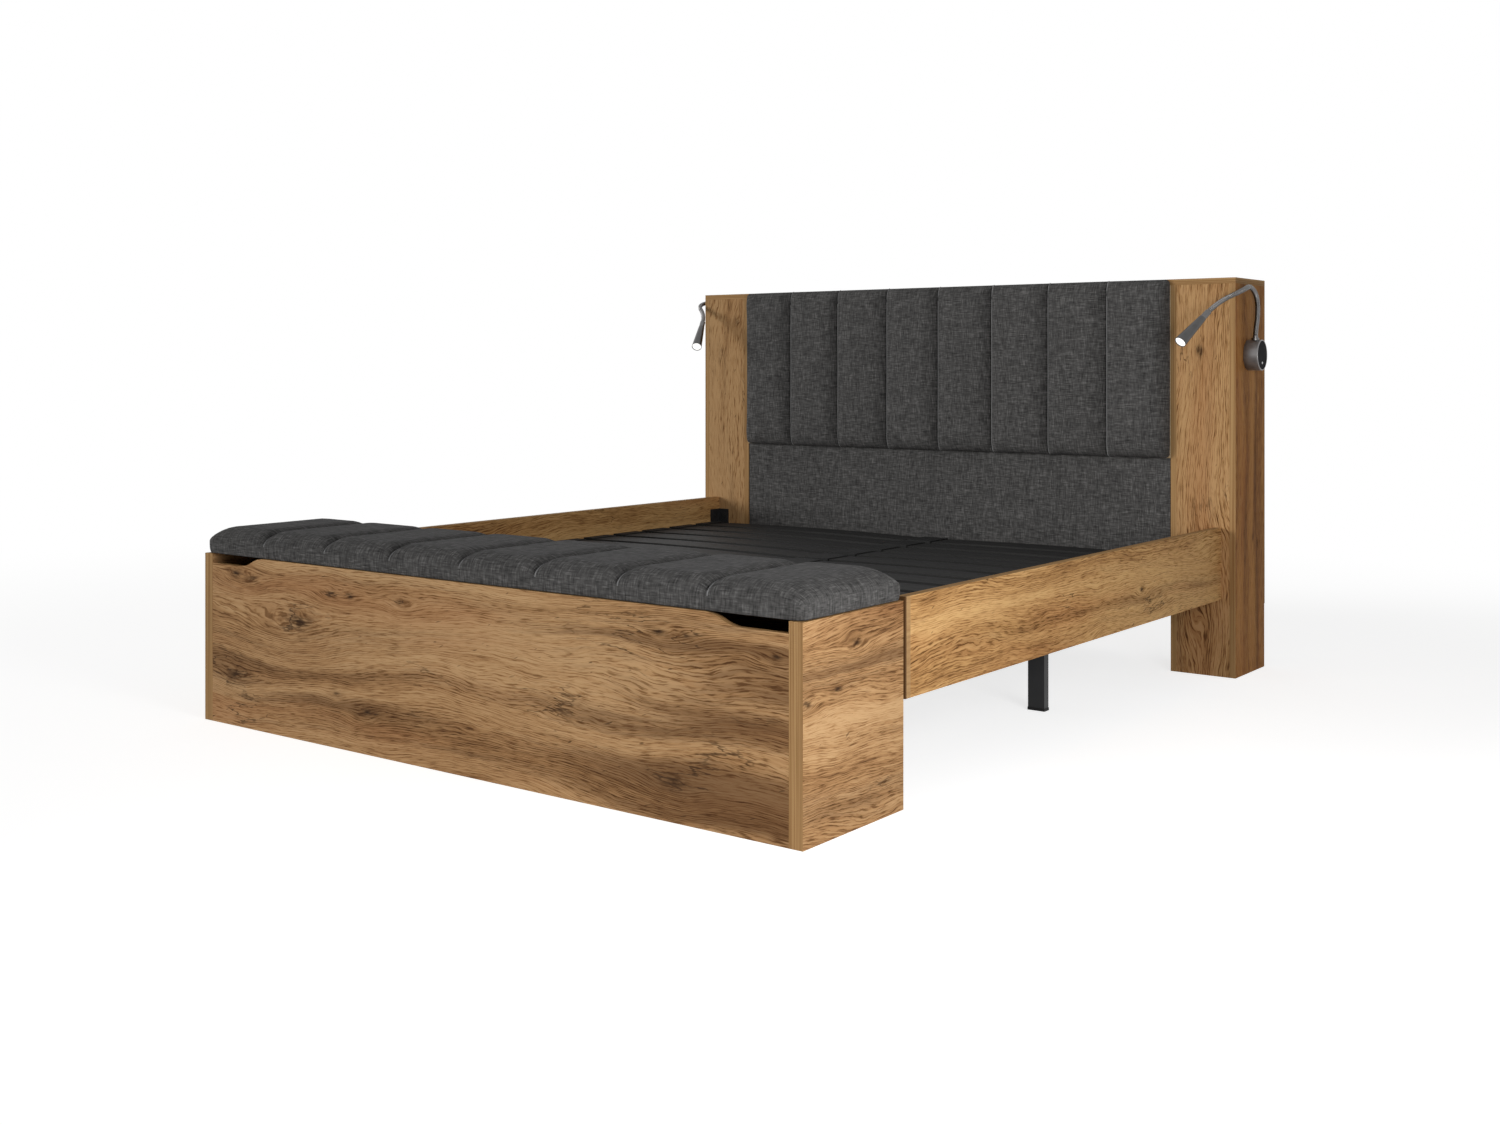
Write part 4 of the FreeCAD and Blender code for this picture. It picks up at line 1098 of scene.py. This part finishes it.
def make_lamp_head(side, start, way, finishes):
    """Sleeve, conical shade and lens on the end of the neck."""
    body = f"{side}_lamp_head"
    bore = NECK_RADIUS + SLEEVE_PLAY
    sleeve = turned(f"{side}_sleeve", [
        (0, SLEEVE_HOLLOW, 0), (bore, SLEEVE_HOLLOW, 0), (bore, 0, 0.0004),
        (SLEEVE_RADIUS, 0, 0.0012), (SLEEVE_RADIUS, SLEEVE_LENGTH, 0), (0, SLEEVE_LENGTH, 0),
    ], start, way, finishes["neck"])
    attach(sleeve, f"{side}_lamp_sleeve", body)

    rear = start + way * SLEEVE_LENGTH
    mouth = SHADE_FRONT - SHADE_WALL
    inside = mouth - SHADE_TAPER
    shade = turned(f"{side}_shade", [
        (0, 0, 0), (SHADE_REAR, 0, 0.0012), (SHADE_FRONT, SHADE_LENGTH, 0.0008),
        (mouth, SHADE_LENGTH, 0.0004), (inside, SHADE_LENGTH - SHADE_HOLLOW, 0),
        (0, SHADE_LENGTH - SHADE_HOLLOW, 0),
    ], rear, way, finishes["shade"])
    attach(shade, f"{side}_lamp_head", body)

    lens = turned(f"{side}_lens", [
        (0, 0, 0), (inside - 0.0002, 0, 0), (inside, 0.002, 0.0008), (0.6 * inside, 0.0028, 0),
        (0, 0.0031, 0),
    ], rear + way * (SHADE_LENGTH - LENS_DEPTH), way, finishes["lens"])
    attach(lens, f"{side}_lamp_lens", body)


def make_lamp(side, sign, finishes):
    low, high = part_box(f"{side}_lamp_housing")
    middle = (low + high) / 2
    make_lamp_base(side, middle, Vector((sign, 0, 0)), finishes)
    root = middle + UP * ((high.y - low.y) / 2)
    points = [root - UP * NECK_LAP]
    points += [root + Vector((sign * outward, back, lift)) for outward, back, lift in NECK_ROUTE]
    way = (points[-1] - points[-2]).normalized()
    sleeve_start = points[-1].copy()
    points[-1] = sleeve_start + way * SLEEVE_LAP
    make_neck(side, points, finishes["neck"])
    make_lamp_head(side, sleeve_start, way, finishes)


def attach(piece, node, body):
    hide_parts(node)
    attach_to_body(piece, body)


# Boards and steel that keep their own shape

# Each oak board: axis of its grain, axis across it, seed, knots (place along the grain, place across it,
# radius) and brown patches (place along, place across, half length, half width, slope, strength)
OAK_BOARDS = {
    "bench_front": ("X", "Z", 1, [
        (-0.80, 0.405, 0.012), (-0.73, 0.395, 0.009), (-0.43, 0.385, 0.008), (-0.36, 0.382, 0.007),
        (-0.19, 0.385, 0.008), (-0.55, 0.30, 0.026), (-0.80, 0.135, 0.017), (-0.30, 0.105, 0.011),
        (-0.41, 0.135, 0.008), (0.58, 0.395, 0.010), (0.65, 0.395, 0.007), (0.87, 0.375, 0.007),
        (0.62, 0.085, 0.015),
    ], [
        (0.0, 0.105, 3.0, 0.055, -0.035, 0.20), (0.0, 0.39, 3.0, 0.022, -0.012, 0.10),
        (0.80, 0.24, 0.42, 0.30, 0.0, 0.21), (-0.85, 0.22, 0.22, 0.12, 0.0, 0.10),
    ]),
    "left_bench_side": ("Y", "Z", 2, [
        (-1.20, 0.30, 0.012), (-1.05, 0.12, 0.010),
    ], [(-1.1, 0.14, 1, 0.05, 0, 0.12)]),
    "right_bench_side": ("Y", "Z", 3, [
        (-1.145, 0.385, 0.010), (-1.335, 0.285, 0.007), (-1.22, 0.30, 0.007),
    ], [(-1.15, 0.33, 1, 0.03, 0, 0.13), (-1.15, 0.09, 1, 0.03, 0, 0.11)]),
    "bench_back": ("X", "Z", 4, [(-0.35, 0.25, 0.013), (0.5, 0.30, 0.011)], []),
    "bench_floor": ("X", "Y", 5, [(0.3, -1.15, 0.012)], []),
    "left_rail": ("Y", "Z", 6, [(-0.40, 0.38, 0.008)], []),
    "right_rail": ("Y", "Z", 7, [(0.42, 0.335, 0.008)], [(0.6, 0.28, 0.6, 0.05, 0, 0.12)]),
    "left_outer_panel": ("Z", "Y", 8, [(0.55, 1.20, 0.008)], [(0.6, 1.27, 2, 0.05, 0, 0.08)]),
    "right_outer_panel": ("Z", "Y", 9, [(0.42, 1.24, 0.008)], [(0.6, 1.29, 2, 0.07, 0, 0.09)]),
    "left_inner_panel": ("Z", "Y", 10, [], []),
    "right_inner_panel": ("Z", "Y", 11, [], []),
    "left_wing_front": ("Z", "X", 12, [(1.125, -0.83, 0.009)], []),
    "right_wing_front": ("Z", "X", 13, [(1.00, 0.87, 0.009)], [(0.85, 0.88, 0.15, 0.03, 0, 0.10)]),
    "headboard_top": ("X", "Y", 14, [(-0.4, 1.22, 0.012), (0.55, 1.17, 0.010)], []),
    "headboard_stretchers": ("X", "Z", 15, [], []),
}
# Dark line painted as the shadow of the gap, and plain strip, at the bench end of a rail, as places along
# it
RAIL_STRIP_AND_GAP_SHADOW = (-0.9370, -0.919)
# Tints laid over some boards' print, and boards stronger in the contrast of their print: a warm darker
# tint paints shade on the wing sides, the left wing front is tinted darker than the right as painted
# shade, and the rails are tinted lighter and more golden
# Warm darker tint: shade painted on the wing side panels
WARM_SHADE = (0.86, 0.68, 0.44, 1)
GOLDEN = (1.22, 1.20, 1.04, 1)
BOARD_TINTS_AND_SHADE = {
    "left_outer_panel": WARM_SHADE,
    "right_outer_panel": WARM_SHADE,
    "left_rail": GOLDEN,
    "right_rail": GOLDEN,
    # The wing fronts are tinted darker, the left one more than the right as painted shade
    "left_wing_front": (0.80, 0.77, 0.72, 1),
    "right_wing_front": (0.90, 0.86, 0.79, 1),
}
BOARD_HARDNESS = {"left_wing_front": 0.17, "right_wing_front": 0.17}
BOARD_BEVEL = 0.0008
WELD_REACH = 0.00002

BLACK_STEEL = [
    "corner_brackets", "left_ledge", "right_ledge", "left_frame_tube", "right_frame_tube",
    "foot_crossbar", "head_crossbar", "centre_beam", "leg_crossbar", "support_legs",
]
BRIGHT_STEEL = [
    "hinge_fixed_screws", "hinge_lid_screws", "hinge_fixed_leaves", "hinge_lid_leaves", "hinge_pins",
]


def ease_edges(board):
    """Break the sharp edges of a board, as edge banding is."""
    join = board.modifiers.new("join", "WELD")
    join.merge_threshold = WELD_REACH
    ease = board.modifiers.new("ease", "BEVEL")
    ease.width = BOARD_BEVEL
    ease.segments = 2
    ease.limit_method = "ANGLE"
    ease.angle_limit = math.radians(60)
    ease.harden_normals = True


def dress(names, material):
    for name in names:
        slots = nodes[name].data.materials
        slots.clear()
        slots.append(material)


def dress_boards():
    for name, description in OAK_BOARDS.items():
        strip = RAIL_STRIP_AND_GAP_SHADOW if name.endswith("_rail") else None
        print_of_board = Oak(f"oak_{name}", *description)
        tint_and_shade = BOARD_TINTS_AND_SHADE.get(name)
        dress([name], print_of_board.material(strip, tint_and_shade, BOARD_HARDNESS.get(name, 0.0)))
        ease_edges(nodes[name])
    plywood = lined_wood("plywood", "X", (0.42, 0.30, 0.17), (0.62, 0.47, 0.29), 0.6)
    dress(["backrest_board", "lid_board"], plywood)
    dress(["dowels"], lined_wood("beech", "Z", (0.50, 0.36, 0.21), (0.64, 0.48, 0.30), 0.6))
    hardboard = lined_wood("hardboard", "Z", (0.20, 0.135, 0.085), (0.27, 0.185, 0.12), 0.7)
    dress(["headboard_back"], hardboard)
    slat = lined_wood("black_slat", "X", (0.007, 0.007, 0.007), (0.017, 0.0165, 0.016), 0.65)
    dress(["left_slats", "right_slats"], slat)


def dress_steel():
    dress(BLACK_STEEL, painted("black_steel", (0.016, 0.016, 0.017), 0.42, 0.0012))
    plastic = painted("black_plastic", (0.012, 0.012, 0.012), 0.65, 0.0008, 0.2)
    dress(["leg_caps", "slat_holders", "lid_bumpers"], plastic)
    lamp_face = painted("lamp_face", (0.006, 0.006, 0.007), 0.45, 0.0010, 0.01)
    dress(["left_lamp_face", "right_lamp_face"], lamp_face)
    dress(["frame_screws"], satin_metal("black_zinc", (0.06, 0.06, 0.06), 0.5))
    dress(BRIGHT_STEEL, satin_metal("zinc", (0.50, 0.50, 0.49), 0.42))


# Stage, light and camera

FLOOR_NEAR = 2.4
FLOOR_FAR = 5.0
FLOOR_GLOW = 0.74
FLOOR_SHADE = (0.60, 0.60, 0.60, 1)
FLOOR_BOUNCE = (0.86, 0.86, 0.86, 1)
FLOOR_REACH = 60.0
FLOOR_DROP = 0.0005
WORLD_LIGHT = 0.24


def seen_directly(n):
    """1 for what the camera, a mirror or glass sees of the stage; 0 for the light that it gives."""
    rays = n.add("LightPath").outputs
    seen = n.math("MAXIMUM", rays["Is Camera Ray"], rays["Is Glossy Ray"])
    return n.math("MAXIMUM", seen, rays["Is Transmission Ray"])


def make_floor():
    """Pale floor that keeps the bed's shadow and fades to white away from it."""
    n = material_nodes("floor")
    x, y, _ = n.place()
    fade = n.step(n.vector_math("LENGTH", n.vector(x, y))["Value"], FLOOR_NEAR, FLOOR_FAR)
    glow = n.add("Emission", {"Color": WHITE, "Strength": FLOOR_GLOW}).outputs[0]
    shaded = n.add("BsdfDiffuse", {"Color": FLOOR_SHADE}).outputs[0]
    near = n.add("AddShader", {0: glow, 1: shaded}).outputs[0]
    white = n.add("Emission", {"Color": WHITE, "Strength": 1.0}).outputs[0]
    shown = n.add("MixShader", {0: fade, 1: near, 2: white}).outputs[0]
    plain = n.add("BsdfDiffuse", {"Color": FLOOR_BOUNCE}).outputs[0]
    mixed = n.add("MixShader", {0: seen_directly(n), 1: plain, 2: shown}).outputs[0]
    corners = [(FLOOR_REACH * x, FLOOR_REACH * y, 0) for x, y in ((-1, -1), (1, -1), (1, 1), (-1, 1))]
    floor = mesh_object("floor", corners, [(0, 1, 2, 3)], n.finish("Material", mixed))
    floor.location.z = -FLOOR_DROP


def make_world():
    n = Nodes(bpy.data.worlds.new("studio"))
    strength = n.step(seen_directly(n), 0.0, 1.0, WORLD_LIGHT, 1.0)
    background = n.add("Background", {"Color": WHITE, "Strength": strength}).outputs[0]
    scene.world = n.finish("World", background)


def place_light(light, aim, place=(0, 0, 0)):
    lamp = bpy.data.objects.new(light.name, light)
    lamp.location = place
    lamp.rotation_euler = Vector(aim).to_track_quat("-Z", "Y").to_euler()
    scene.collection.objects.link(lamp)


def soft_box(name, place, target, width, height, power):
    light = bpy.data.lights.new(name, "AREA")
    light.shape = "RECTANGLE"
    light.size = width
    light.size_y = height
    light.energy = power
    place_light(light, Vector(target) - Vector(place), place)


def broad_light(name, aim, strength, spread):
    """Light of one strength everywhere, travelling along the aim."""
    light = bpy.data.lights.new(name, "SUN")
    light.energy = strength
    light.angle = math.radians(spread)
    place_light(light, aim)


def make_light():
    broad_light("front", aim=(0.95, 1.0, -0.27), strength=1.74, spread=25)
    soft_box("side", place=(2.7, -1.75, 0.95), target=(0.93, -0.80, 0.33), width=1.2, height=1.0, power=40)


FOCAL_PIXELS = 1655.36
PICTURE_WIDTH = 1500
PICTURE_HEIGHT = 1125
CENTRE_X = 515
HORIZON_Y = 366.56
EYE = (2.6402, -4.1713, 0.9515)
YAW = 0.7179
SENSOR = 36.0


def make_camera():
    """A level camera that keeps upright edges upright, shifted as the picture's framing needs."""
    data = bpy.data.cameras.new("camera")
    data.sensor_width = SENSOR
    data.lens = SENSOR * FOCAL_PIXELS / PICTURE_WIDTH
    data.shift_x = (PICTURE_WIDTH / 2 - CENTRE_X) / PICTURE_WIDTH
    data.shift_y = -(PICTURE_HEIGHT / 2 - HORIZON_Y) / PICTURE_WIDTH
    camera = bpy.data.objects.new("camera", data)
    camera.location = EYE
    camera.rotation_euler = (math.pi / 2, 0, YAW)
    scene.collection.objects.link(camera)
    scene.camera = camera


def make_bed():
    fabric = woven("charcoal_weave", FABRIC_STOPS, FABRIC_SHEEN)
    # The seam lips are lighter cloth, a painted highlight along each seam
    lip_highlight = woven("seam_lip", LIP_HIGHLIGHT_STOPS, LIP_SHEEN, "Object")
    make_lid_pad(fabric, lip_highlight)
    make_back_pad(fabric, lip_highlight)
    make_lower_panel(fabric)
    finishes = {
        "base": satin_metal("graphite", (0.225, 0.216, 0.214), 0.34),
        "neck": satin_metal("neck_graphite", (0.150, 0.146, 0.144), 0.30),
        # The conical shade is the same graphite painted darker, as a painted reflection of dark
        # surroundings
        "shade": satin_metal("graphite_with_painted_dark_reflection", (0.095, 0.093, 0.092), 0.32),
        "button": painted("button_gloss", (0.78, 0.78, 0.78), 0.2, 0.0008),
        "lens": lit_lens("lamp_lens"),
    }
    for side, sign in SIDES.items():
        make_lamp(side, sign, finishes)
    dress_boards()
    dress_steel()


make_bed()
make_floor()
make_world()
make_light()
make_camera()
scene.view_settings.view_transform = "Standard"
